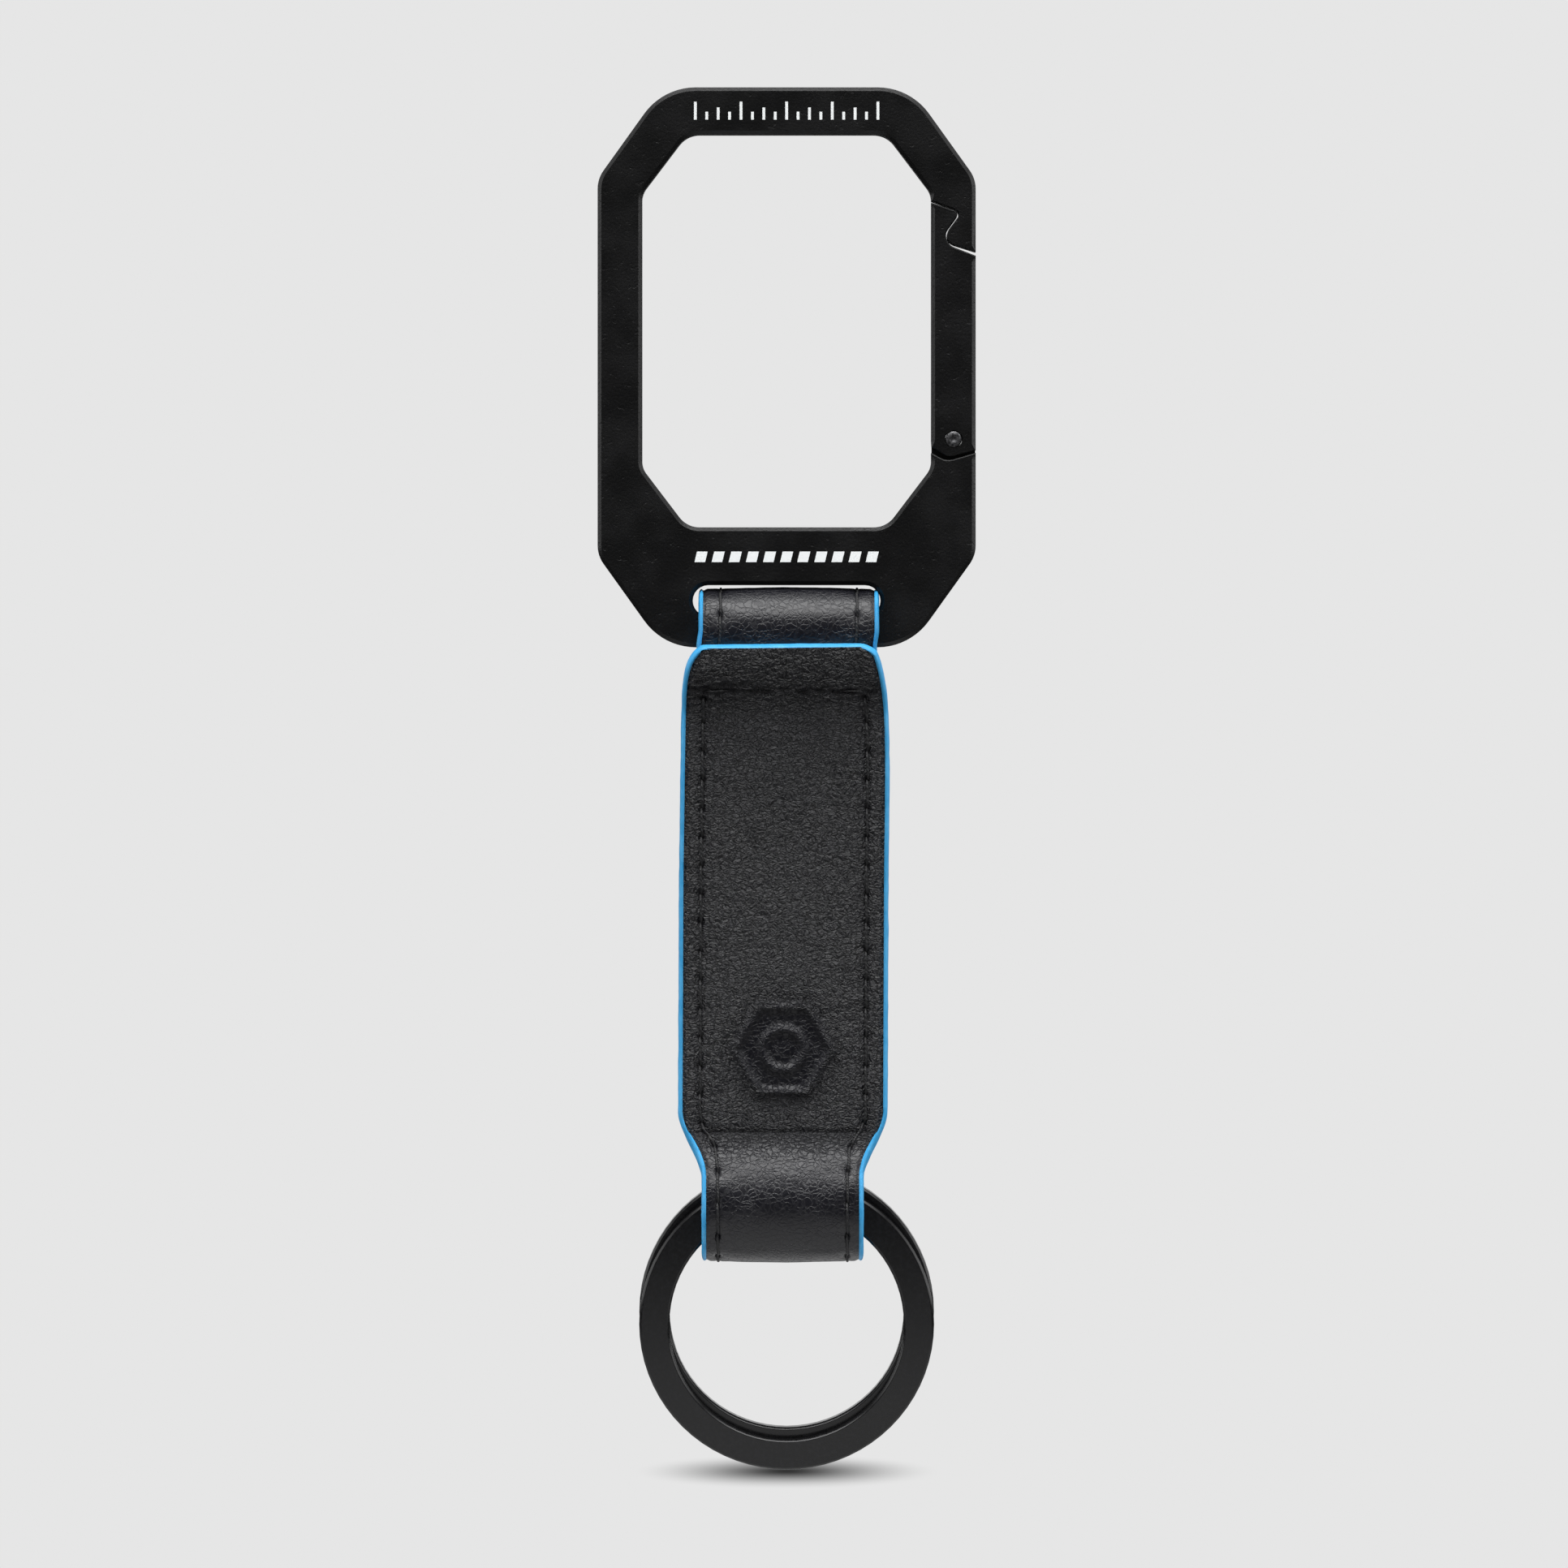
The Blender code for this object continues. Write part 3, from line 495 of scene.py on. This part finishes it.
def tube_points(path, radius, sides):
    """Rings of points round a path of 3-D points."""
    ways = np.gradient(path, axis=0)
    ways /= np.linalg.norm(ways, axis=1)[:, None]
    across = np.cross(ways, NO_CORD_WAY)
    across /= np.linalg.norm(across, axis=1)[:, None]
    up = np.cross(across, ways)
    angle = np.linspace(0, 2 * math.pi, sides, endpoint=False)[None, :, None]
    ring = across[:, None] * np.cos(angle) + up[:, None] * np.sin(angle)
    return path[:, None] + ring * radius


def add_cords(name, paths, radius, material, body, sides=8, **extra):
    """Separate cords as one piece."""
    points, faces, count = [], [], 0
    for path in paths:
        rings = tube_points(path, radius, sides)
        faces += [[i + count for i in face] for face in skin_faces(len(path), sides)]
        points.append(rings.reshape(-1, 3))
        count += rings.shape[0] * sides
    return add_piece(name, np.vstack(points), faces, material, body, **extra)


SIDE_THREAD, CROSS_THREAD = 0.13, 0.12  # radius
SIDE_STITCH, CROSS_STITCH = 0.96, 0.95  # length of a stitch as a share of the pitch
SIDE_SLANT = 0.1
CROSS_STITCHES = 6
CROSS_PITCH = 2.56
CROSS_START = -7.7


def stitch_height(t, dive, sunk, rise):
    """Height of a stitch above the strip's middle. It dives into its holes at both ends."""
    return STRIP / 2 - sunk + rise * ease(np.minimum(t, 1 - t) / dive)


def side_stitches(name, hand, material):
    """Each stitch rises out of one needle hole and sinks into the next."""
    paths = []
    t = np.linspace(0, 1, 13)
    out = stitch_height(t, dive=0.16, sunk=0.3, rise=0.31)
    for hole in stitch_places():
        length = hole + t * STITCH_PITCH * SIDE_STITCH
        half = STRIP_LINE.half_width(length, hand)
        across = hand * seam_from_middle(half) + SIDE_SLANT * (t - 0.5)
        paths.append(STRIP_LINE.place(length, across, out))
    return add_cords(
        f"stitches_{name}", paths, SIDE_THREAD, material, "strap",
        slot="black_thread", replaces=[f"seam_thread_{name}"],
    )


def cross_stitches(material):
    cross = STRIP_LINE.find("flap", CROSS_SEAM_Z)
    paths = []
    t = np.linspace(0, 1, 11)
    out = stitch_height(t, dive=0.2, sunk=0.36, rise=0.3)
    for k in range(CROSS_STITCHES):
        x = CROSS_START + (k + t * CROSS_STITCH) * CROSS_PITCH
        paths.append(STRIP_LINE.place(cross + cross_seam_wander(x), x, out))
    return add_cords(
        "stitches_cross", paths, CROSS_THREAD, material, "strap",
        slot="black_thread", replaces=["cross_seam_thread"],
    )


# ---------------------------------------------------------------- printed marks


def slab(x0, x1, z0, z1, y, thickness, lean=0.0):
    """Corner points of a thin upright slab whose top is shifted along X by lean."""
    corners = [(x0, z0), (x1, z0), (x1 + lean, z1), (x0 + lean, z1)]
    return [(x, y - side * thickness, z) for side in (0, 1) for x, z in corners]


SLAB_FACES = [(0, 1, 2, 3), (4, 5, 6, 7), (0, 1, 5, 4), (1, 2, 6, 5), (2, 3, 7, 6), (3, 0, 4, 7)]


INK = 0.012
TICKS_EACH_WAY = 8
TICK_PITCH = 1.08
TICK_HALF = 0.13
LONG_TICK, MIDDLE_TICK, SHORT_TICK = 1.7, 1.15, 0.75
DASHES = 11
DASH_PITCH = 1.62
DASH_LENGTH, DASH_HEIGHT, DASH_LEAN = 1.0, 1.0, 0.24
DASH_Z = -40.0


def printed_marks(material):
    """A short scale on the top bar, and a row of leaning dashes above the slot."""
    y = PLATE_LOW.y
    marks = []
    foot = PLATE_HIGH.z / 2 - LONG_TICK / 2
    for k in range(-TICKS_EACH_WAY, TICKS_EACH_WAY + 1):
        tall = LONG_TICK if k % 4 == 0 else MIDDLE_TICK if k % 2 == 0 else SHORT_TICK
        x = k * TICK_PITCH
        marks.append(slab(x - TICK_HALF, x + TICK_HALF, foot, foot + tall, y, INK))
    low, high = DASH_Z - DASH_HEIGHT / 2, DASH_Z + DASH_HEIGHT / 2
    for k in range(DASHES):
        left = (k - DASHES // 2) * DASH_PITCH - (DASH_LENGTH + DASH_LEAN) / 2
        marks.append(slab(left, left + DASH_LENGTH, low, high, y, INK, lean=DASH_LEAN))
    points = [point for mark in marks for point in mark]
    faces = [[i + 8 * k for i in face] for k in range(len(marks)) for face in SLAB_FACES]
    return add_piece(
        "scale_marks", points, faces, material, "carabiner",
        slot="white_print", smooth=False,
    )


# ---------------------------------------------------------------- materials


def new_material(name):
    made = bpy.data.materials.new(name)
    made.use_nodes = True
    tree = made.node_tree
    return made, tree, tree.nodes["Principled BSDF"]


def node(tree, kind, **values):
    made = tree.nodes.new(kind)
    for key, value in values.items():
        if hasattr(made, key):
            setattr(made, key, value)
        else:
            made.inputs[key.replace("_", " ")].default_value = value
    return made


def link(tree, source, target):
    tree.links.new(source, target)


def math_node(tree, operation, first, second):
    made = tree.nodes.new("ShaderNodeMath")
    made.operation = operation
    for socket, value in zip(made.inputs, (first, second)):
        if isinstance(value, (int, float)):
            socket.default_value = value
        else:
            link(tree, value, socket)
    return made.outputs[0]


def ramp(tree, value, low, high, out_low=0.0, out_high=1.0):
    made = tree.nodes.new("ShaderNodeMapRange")
    made.interpolation_type = "SMOOTHSTEP"
    link(tree, value, made.inputs["Value"])
    amounts = {"From Min": low, "From Max": high, "To Min": out_low, "To Max": out_high}
    for key, amount in amounts.items():
        made.inputs[key].default_value = amount
    return made.outputs["Result"]


def colour_mix(tree, share, first, second):
    made = tree.nodes.new("ShaderNodeMix")
    made.data_type = "RGBA"
    link(tree, share, made.inputs["Factor"])
    made.inputs["A"].default_value = (*first, 1)
    made.inputs["B"].default_value = (*second, 1)
    return made.outputs["Result"]


def base_colour(tree, shader, share, first, second):
    link(tree, colour_mix(tree, share, first, second), shader.inputs["Base Color"])


def bump(tree, height, depth_mm, normal=None):
    made = tree.nodes.new("ShaderNodeBump")
    made.inputs["Strength"].default_value = 1.0
    made.inputs["Distance"].default_value = depth_mm * MM
    link(tree, height, made.inputs["Height"])
    if normal:
        link(tree, normal, made.inputs["Normal"])
    return made.outputs["Normal"]


def mapped(tree, source, scale, shift=(0, 0, 0)):
    made = tree.nodes.new("ShaderNodeMapping")
    made.inputs["Scale"].default_value = scale
    made.inputs["Location"].default_value = shift
    link(tree, source, made.inputs["Vector"])
    return made.outputs["Vector"]


def vector_length(tree, source):
    made = tree.nodes.new("ShaderNodeVectorMath")
    made.operation = "LENGTH"
    link(tree, source, made.inputs[0])
    return made.outputs["Value"]


def noise_node(tree, vector, scale, detail=3.0, roughness=0.5):
    made = tree.nodes.new("ShaderNodeTexNoise")
    made.inputs["Scale"].default_value = scale
    made.inputs["Detail"].default_value = detail
    made.inputs["Roughness"].default_value = roughness
    link(tree, vector, made.inputs["Vector"])
    return made


def slackness(tree, uv):
    """1 where the leather lies flat, and less where it is stretched round the loops."""
    parts = tree.nodes.new("ShaderNodeSeparateXYZ")
    link(tree, uv, parts.inputs[0])
    length = parts.outputs["Y"]
    line = STRIP_LINE
    changes = {"bulge": -STRETCHED, "rise": STRETCHED, "climb": -STRETCHED}
    total = 1.0
    for run, change in changes.items():
        start = line.at(run)
        step = ramp(tree, length, start - 1.5, start + 4.0, 0.0, change)
        total = math_node(tree, "ADD", total, step)
    return total


def emboss_field(tree, uv, amount):
    """`amount` within the pressed mark and 1 outside."""
    centre = STRIP_LINE.find("front", EMBOSS_Z)
    shift = tree.nodes.new("ShaderNodeVectorMath")
    shift.operation = "SUBTRACT"
    link(tree, uv, shift.inputs[0])
    shift.inputs[1].default_value = (0, centre, 0)
    distance = vector_length(tree, shift.outputs["Vector"])
    return ramp(tree, distance, EMBOSS_RADIUS * 0.8, EMBOSS_RADIUS * 1.1, amount, 1.0)


def leather_material(name, base, worn, grain_mm, roughness):
    """Fine natural grain: flat pebbles parted by creases that mostly run across the strap."""
    made, tree, shader = new_material(name)
    uv = node(tree, "ShaderNodeUVMap", uv_map="strip").outputs["UV"]
    drift = noise_node(tree, mapped(tree, uv, (0.9, 1.3, 1)), scale=1.0, detail=4.0)
    warped = tree.nodes.new("ShaderNodeMix")
    warped.data_type = "VECTOR"
    warped.inputs["Factor"].default_value = 0.32
    link(tree, uv, warped.inputs["A"])
    shift = tree.nodes.new("ShaderNodeVectorMath")
    shift.operation = "MULTIPLY_ADD"
    link(tree, drift.outputs["Color"], shift.inputs[0])
    shift.inputs[1].default_value = (3.2, 3.2, 0)
    link(tree, uv, shift.inputs[2])
    link(tree, shift.outputs[0], warped.inputs["B"])
    place = warped.outputs["Result"]
    cells = tree.nodes.new("ShaderNodeTexVoronoi")
    cells.feature = "DISTANCE_TO_EDGE"
    cells.inputs["Scale"].default_value = 1.0
    link(tree, mapped(tree, place, (1.75, 2.3, 1)), cells.inputs["Vector"])
    crease = ramp(tree, cells.outputs["Distance"], 0.0, 0.15)
    small = tree.nodes.new("ShaderNodeTexVoronoi")
    small.feature = "SMOOTH_F1"
    small.inputs["Scale"].default_value = 1.0
    link(tree, mapped(tree, place, (4.2, 5.6, 1)), small.inputs["Vector"])
    fine = noise_node(tree, mapped(tree, uv, (9, 11, 1)), scale=1.0, detail=3.0)
    broad = noise_node(tree, mapped(tree, uv, (0.22, 0.3, 1)), scale=1.0, detail=3.0)
    patches = ramp(tree, broad.outputs["Fac"], 0.35, 0.65, 0.6, 1.1)
    slack = math_node(tree, "MULTIPLY", slackness(tree, uv), emboss_field(tree, uv, 0.2))
    depth = math_node(tree, "MULTIPLY", patches, slack)
    layers = (
        (fine.outputs["Fac"], slack, grain_mm * 0.45),
        (small.outputs["Distance"], slack, -grain_mm * 0.6),
        (crease, depth, grain_mm),
    )
    normal = None
    for height, share, depth_mm in layers:
        normal = bump(tree, math_node(tree, "MULTIPLY", height, share), depth_mm, normal)
    link(tree, normal, shader.inputs["Normal"])
    patch = ramp(tree, broad.outputs["Fac"], 0.3, 0.7)
    base_colour(tree, shader, patch, base, worn)
    rough = ramp(tree, crease, 0.0, 1.0, roughness + 0.14, roughness)
    link(tree, rough, shader.inputs["Roughness"])
    gloss = math_node(tree, "MULTIPLY", emboss_field(tree, uv, 0.7), 0.5)
    link(tree, gloss, shader.inputs["Specular IOR Level"])
    return made


def object_place(tree):
    return node(tree, "ShaderNodeTexCoord").outputs["Object"]


def anodised_material():
    """Bead-blasted and black anodised: a dense satin black with fine pits and faint mottling."""
    made, tree, shader = new_material("anodised_black")
    place = object_place(tree)
    blast = noise_node(tree, place, scale=3800, detail=2.0, roughness=0.6)
    pits = noise_node(tree, place, scale=2100, detail=2.0, roughness=0.5)
    clouds = noise_node(tree, place, scale=240, detail=4.0)
    normal = bump(tree, blast.outputs["Fac"], 0.032)
    normal = bump(tree, ramp(tree, pits.outputs["Fac"], 0.62, 0.72), -0.014, normal)
    link(tree, normal, shader.inputs["Normal"])
    shade = ramp(tree, clouds.outputs["Fac"], 0.35, 0.7)
    base_colour(tree, shader, shade, (0.0018, 0.0018, 0.002), (0.0038, 0.0038, 0.0042))
    rough = ramp(tree, clouds.outputs["Fac"], 0.3, 0.7, 0.4, 0.5)
    link(tree, rough, shader.inputs["Roughness"])
    shader.inputs["Specular IOR Level"].default_value = 0.4
    return made


def ring_material():
    """Glossy black coating over rolled steel, with a faint orange-peel and brush marks."""
    made, tree, shader = new_material("gloss_black")
    place = object_place(tree)
    peel = noise_node(tree, place, scale=900, detail=2.0)
    wear = noise_node(tree, place, scale=3000, detail=3.0)
    link(tree, bump(tree, peel.outputs["Fac"], 0.004), shader.inputs["Normal"])
    shade = ramp(tree, wear.outputs["Fac"], 0.4, 0.75)
    base_colour(tree, shader, shade, (0.006, 0.006, 0.0065), (0.01, 0.01, 0.011))
    link(tree, ramp(tree, wear.outputs["Fac"], 0.3, 0.7, 0.14, 0.2), shader.inputs["Roughness"])
    shader.inputs["Specular IOR Level"].default_value = 0.38
    return made


def steel_material():
    made, tree, shader = new_material("pin_steel")
    place = object_place(tree)
    marks = noise_node(tree, place, scale=3800, detail=4.0, roughness=0.7)
    link(tree, bump(tree, marks.outputs["Fac"], 0.03), shader.inputs["Normal"])
    shade = ramp(tree, marks.outputs["Fac"], 0.35, 0.7)
    base_colour(tree, shader, shade, (0.08, 0.08, 0.085), (0.34, 0.34, 0.35))
    shader.inputs["Metallic"].default_value = 1.0
    shader.inputs["Roughness"].default_value = 0.42
    return made


def paint_material():
    """Rubbery blue edge paint with slight brush waves and lighter high spots."""
    made, tree, shader = new_material("blue_edge_paint")
    place = object_place(tree)
    waves = noise_node(tree, place, scale=700, detail=3.0)
    grain = noise_node(tree, place, scale=4000, detail=2.0)
    normal = bump(tree, waves.outputs["Fac"], 0.05)
    link(tree, bump(tree, grain.outputs["Fac"], 0.01, normal), shader.inputs["Normal"])
    shade = ramp(tree, waves.outputs["Fac"], 0.3, 0.7)
    base_colour(tree, shader, shade, (0.035, 0.35, 0.71), (0.075, 0.43, 0.8))
    link(tree, ramp(tree, grain.outputs["Fac"], 0.3, 0.7, 0.38, 0.5), shader.inputs["Roughness"])
    shader.inputs["Specular IOR Level"].default_value = 0.35
    return made


def thread_material():
    """Twisted polyester thread."""
    made, tree, shader = new_material("black_thread")
    place = object_place(tree)
    twist = tree.nodes.new("ShaderNodeTexWave")
    twist.bands_direction = "DIAGONAL"
    twist.inputs["Scale"].default_value = 1500
    twist.inputs["Distortion"].default_value = 1.0
    link(tree, place, twist.inputs["Vector"])
    link(tree, bump(tree, twist.outputs["Fac"], 0.03), shader.inputs["Normal"])
    base_colour(tree, shader, twist.outputs["Fac"], (0.006, 0.006, 0.007), (0.016, 0.016, 0.018))
    shader.inputs["Roughness"].default_value = 0.6
    return made


def tape_material():
    made, tree, shader = new_material("core_tape")
    weave = noise_node(tree, object_place(tree), scale=2500, detail=2.0)
    link(tree, bump(tree, weave.outputs["Fac"], 0.04), shader.inputs["Normal"])
    base_colour(tree, shader, weave.outputs["Fac"], (0.02, 0.02, 0.02), (0.05, 0.05, 0.05))
    shader.inputs["Roughness"].default_value = 0.85
    return made


def print_and_painted_glow_material():
    made, tree, shader = new_material("white_print")
    speckle = noise_node(tree, object_place(tree), scale=5000, detail=3.0)
    shade = ramp(tree, speckle.outputs["Fac"], 0.3, 0.6)
    base_colour(tree, shader, shade, (0.72, 0.74, 0.75), (0.86, 0.88, 0.88))
    link(tree, bump(tree, speckle.outputs["Fac"], 0.01), shader.inputs["Normal"])
    shader.inputs["Roughness"].default_value = 0.6
    # Painted glow: the white print gives off a little light of its own, so it stays bright
    # whatever light falls on it.
    shader.inputs["Emission Color"].default_value = (0.96, 1, 1, 1)
    shader.inputs["Emission Strength"].default_value = 0.3
    return made


# ---------------------------------------------------------------- carried-over CAD nodes


def dress(node_name, material, bevel_mm=0.0, sharp_degrees=SHARP_DEGREES):
    """Gives a CAD node its material and smooth shading. Its vertices stay as they are."""
    obj = NODES[node_name]
    mesh = obj.data
    mesh.materials.clear()
    mesh.materials.append(material)
    normals = mesh.attributes.get("custom_normal")
    if normals:
        mesh.attributes.remove(normals)
    mesh.polygons.foreach_set("use_smooth", [True] * len(mesh.polygons))
    edges = mesh.attributes.get("sharp_edge")
    if edges:
        mesh.attributes.remove(edges)
    weld = obj.modifiers.new("weld", "WELD")
    weld.merge_threshold = 1e-6
    if bevel_mm:
        rounding = obj.modifiers.new("rounding", "BEVEL")
        rounding.width = bevel_mm * MM
        rounding.segments = 3
        rounding.limit_method = "ANGLE"
        rounding.angle_limit = math.radians(30)
        rounding.use_clamp_overlap = True
    split = obj.modifiers.new("split", "EDGE_SPLIT")
    split.split_angle = math.radians(sharp_degrees)
    weighted = obj.modifiers.new("weighted", "WEIGHTED_NORMAL")
    weighted.weight = 90


# ---------------------------------------------------------------- studio


FLOOR_RADIUS = 2.5  # metres
FLOOR_GAP = 0.0001  # metres under the ring
BACKGROUND = 0.791
FLOOR_NEAR, FLOOR_FAR = 0.02, 0.10  # metres from the middle; further out it lights little
FLOOR_FAR_SHARE = 0.08
SHADOW_WIDTH, SHADOW_DEPTH = 7.2, 15.7  # from the middle to half darkness
SHADOW_LIFT = 6.0
SHADOW_DARKNESS = 0.96
SHADOW_END = 2.05  # where the shadow has faded out, in the sizes above
SOFTBOX = 5.8
SOFTBOX_ELEVATION = 69.0
SOFTBOX_EDGE = 0.88, 0.98  # cosines of the angle off its middle line
SOFTBOX_ENDS = 0.4, 0.8
DIM_FRONT, DIM_TOP = 0.05, 0.11
SIDE_PANEL, LEFT_SHARE = 2.2, 0.8
SIDE_PANEL_EDGE = 0.72, 0.97
BACKDROP = 0.75
BACKDROP_EDGE = 0.8, 0.95
WHITE = (1, 1, 1, 1)


def floor_shadow(tree, floor_z):
    """The soft contact shadow. It lies under the ring, follows it and fades as it lifts."""
    ring = NODES["split_ring"]
    from_ring = node(tree, "ShaderNodeTexCoord", object=ring).outputs["Object"]
    foot = ring.matrix_world.inverted() @ Vector((0, 0, floor_z))
    scale = Vector([1 / (size * MM) for size in (SHADOW_WIDTH, SHADOW_DEPTH, SHADOW_LIFT)])
    spread = vector_length(tree, mapped(tree, from_ring, scale, -foot * scale))
    return ramp(tree, spread, 0.0, SHADOW_END, 1 - SHADOW_DARKNESS, 1.0)


def studio_floor():
    """A pale floor that melts into a pale background."""
    floor_z = RING_LOW.z * MM - FLOOR_GAP
    bpy.ops.mesh.primitive_circle_add(
        vertices=96, radius=FLOOR_RADIUS, fill_type="NGON", location=(0, 0, floor_z),
    )
    floor = bpy.context.object
    floor.name = "studio_floor"
    made, tree, shader = new_material("pale_floor")
    tree.nodes.remove(shader)
    place = node(tree, "ShaderNodeNewGeometry").outputs["Position"]
    shadow = floor_shadow(tree, floor_z)
    reach = vector_length(tree, mapped(tree, place, (1, 1, 0)))
    far = ramp(tree, reach, FLOOR_NEAR, FLOOR_FAR, 1.0, FLOOR_FAR_SHARE)
    seen = tree.nodes.new("ShaderNodeLightPath").outputs["Is Camera Ray"]
    seen_share = math_node(tree, "MULTIPLY", shadow, seen)
    lit_share = math_node(tree, "MULTIPLY", far, math_node(tree, "SUBTRACT", 1.0, seen))
    glow = tree.nodes.new("ShaderNodeEmission")
    glow.inputs["Color"].default_value = WHITE
    strength = math_node(tree, "ADD", seen_share, lit_share)
    link(tree, math_node(tree, "MULTIPLY", strength, BACKGROUND), glow.inputs["Strength"])
    link(tree, glow.outputs[0], tree.nodes["Material Output"].inputs["Surface"])
    floor.data.materials.append(made)


def studio_light(tree):
    """Brightness by direction: a long softbox above, side panels and a backdrop behind."""
    way = node(tree, "ShaderNodeTexCoord").outputs["Generated"]
    parts = tree.nodes.new("ShaderNodeSeparateXYZ")
    link(tree, way, parts.inputs[0])
    x, y, z = parts.outputs
    aim = math.radians(SOFTBOX_ELEVATION)
    toward = math_node(tree, "MULTIPLY", y, -math.cos(aim))
    toward = math_node(tree, "ADD", toward, math_node(tree, "MULTIPLY", z, math.sin(aim)))
    off_side = math_node(tree, "SUBTRACT", 1.0, math_node(tree, "MULTIPLY", x, x))
    upright = math_node(tree, "SQRT", off_side, 0.0)
    strip = ramp(tree, math_node(tree, "DIVIDE", toward, upright), *SOFTBOX_EDGE, 0.0, SOFTBOX)
    sideways = math_node(tree, "ABSOLUTE", x, 0.0)
    dome = math_node(tree, "MULTIPLY", strip, ramp(tree, sideways, *SOFTBOX_ENDS, 1.0, 0.0))
    dim = ramp(tree, z, 0.0, 0.6, DIM_FRONT, DIM_TOP)
    leftward = math_node(tree, "MULTIPLY", x, -1.0)
    right = ramp(tree, x, *SIDE_PANEL_EDGE, 0.0, SIDE_PANEL)
    left = ramp(tree, leftward, *SIDE_PANEL_EDGE, 0.0, SIDE_PANEL * LEFT_SHARE)
    behind = ramp(tree, y, *BACKDROP_EDGE, 0.0, BACKDROP)
    sides = math_node(tree, "ADD", math_node(tree, "ADD", right, left), behind)
    return math_node(tree, "ADD", math_node(tree, "ADD", dome, dim), sides)


def studio_world():
    """The camera sees a plain pale background, and the object is lit by the studio."""
    world = bpy.data.worlds.new("studio")
    bpy.context.scene.world = world
    world.use_nodes = True
    tree = world.node_tree
    tree.nodes.clear()
    studio = tree.nodes.new("ShaderNodeBackground")
    studio.inputs["Color"].default_value = WHITE
    link(tree, studio_light(tree), studio.inputs["Strength"])
    plain = tree.nodes.new("ShaderNodeBackground")
    plain.inputs["Color"].default_value = WHITE
    plain.inputs["Strength"].default_value = BACKGROUND
    seen = tree.nodes.new("ShaderNodeLightPath")
    mix = tree.nodes.new("ShaderNodeMixShader")
    link(tree, seen.outputs["Is Camera Ray"], mix.inputs["Fac"])
    link(tree, studio.outputs[0], mix.inputs[1])
    link(tree, plain.outputs[0], mix.inputs[2])
    out = tree.nodes.new("ShaderNodeOutputWorld")
    link(tree, mix.outputs[0], out.inputs["Surface"])


CAMERA_X, CAMERA_Z = -0.25, -61.5
CAMERA_LENS = 300.0
SENSOR_WIDTH = 36
SEEN_WIDTH = 148.6  # of the plane through the plate


def camera():
    data = bpy.data.cameras.new("camera")
    data.sensor_width = SENSOR_WIDTH
    data.lens = CAMERA_LENS
    obj = bpy.data.objects.new("camera", data)
    distance = SEEN_WIDTH * CAMERA_LENS / SENSOR_WIDTH
    obj.location = Vector((CAMERA_X, -distance, CAMERA_Z)) * MM
    obj.rotation_euler = (math.radians(90), 0, 0)
    data.clip_start, data.clip_end = 0.01, 20  # metres
    bpy.context.scene.collection.objects.link(obj)
    bpy.context.scene.camera = obj


# ---------------------------------------------------------------- assembly


def main():
    leather = leather_material(
        "black_leather", base=(0.0055, 0.0055, 0.0085), worn=(0.009, 0.009, 0.0125),
        grain_mm=0.29, roughness=0.3,
    )
    lining = leather_material(
        "lining_leather", base=(0.014, 0.014, 0.016), worn=(0.02, 0.02, 0.022),
        grain_mm=0.02, roughness=0.6,
    )
    thread = thread_material()
    steel = steel_material()
    anodised = anodised_material()
    rows = strip_rows()
    ply(
        "grain_leather", STRIP / 2, LEATHER, leather, columns=116, rows=rows, with_relief=True,
        slot="black_leather", replaces=["strap_outer_leather"],
    )
    coarse = rows[::2]
    coarse = np.append(coarse[coarse < rows[-1]], rows[-1])
    ply(
        "reinforcing_tape", CORE / 2, CORE, tape_material(), columns=3, rows=coarse,
        slot="core_tape", replaces=["strap_core"],
    )
    ply(
        "lining_leather", -CORE / 2 - PLY_GAP, LEATHER, lining, columns=12, rows=coarse,
        slot="lining_leather", replaces=["strap_lining"],
    )
    edge_bead(paint_material())
    side_stitches("left", -1, thread)
    side_stitches("right", 1, thread)
    cross_stitches(thread)
    dress("carabiner_frame", anodised, sharp_degrees=35)
    dress("gate", anodised, sharp_degrees=35)
    dress("gate_pivot_pin", steel)
    dress("gate_plunger", steel)
    dress("gate_spring", steel)
    dress("split_ring", ring_material(), bevel_mm=0.05, sharp_degrees=35)
    printed_marks(print_and_painted_glow_material())
    studio_floor()
    studio_world()
    camera()
    bpy.context.scene.view_settings.view_transform = "Standard"


main()
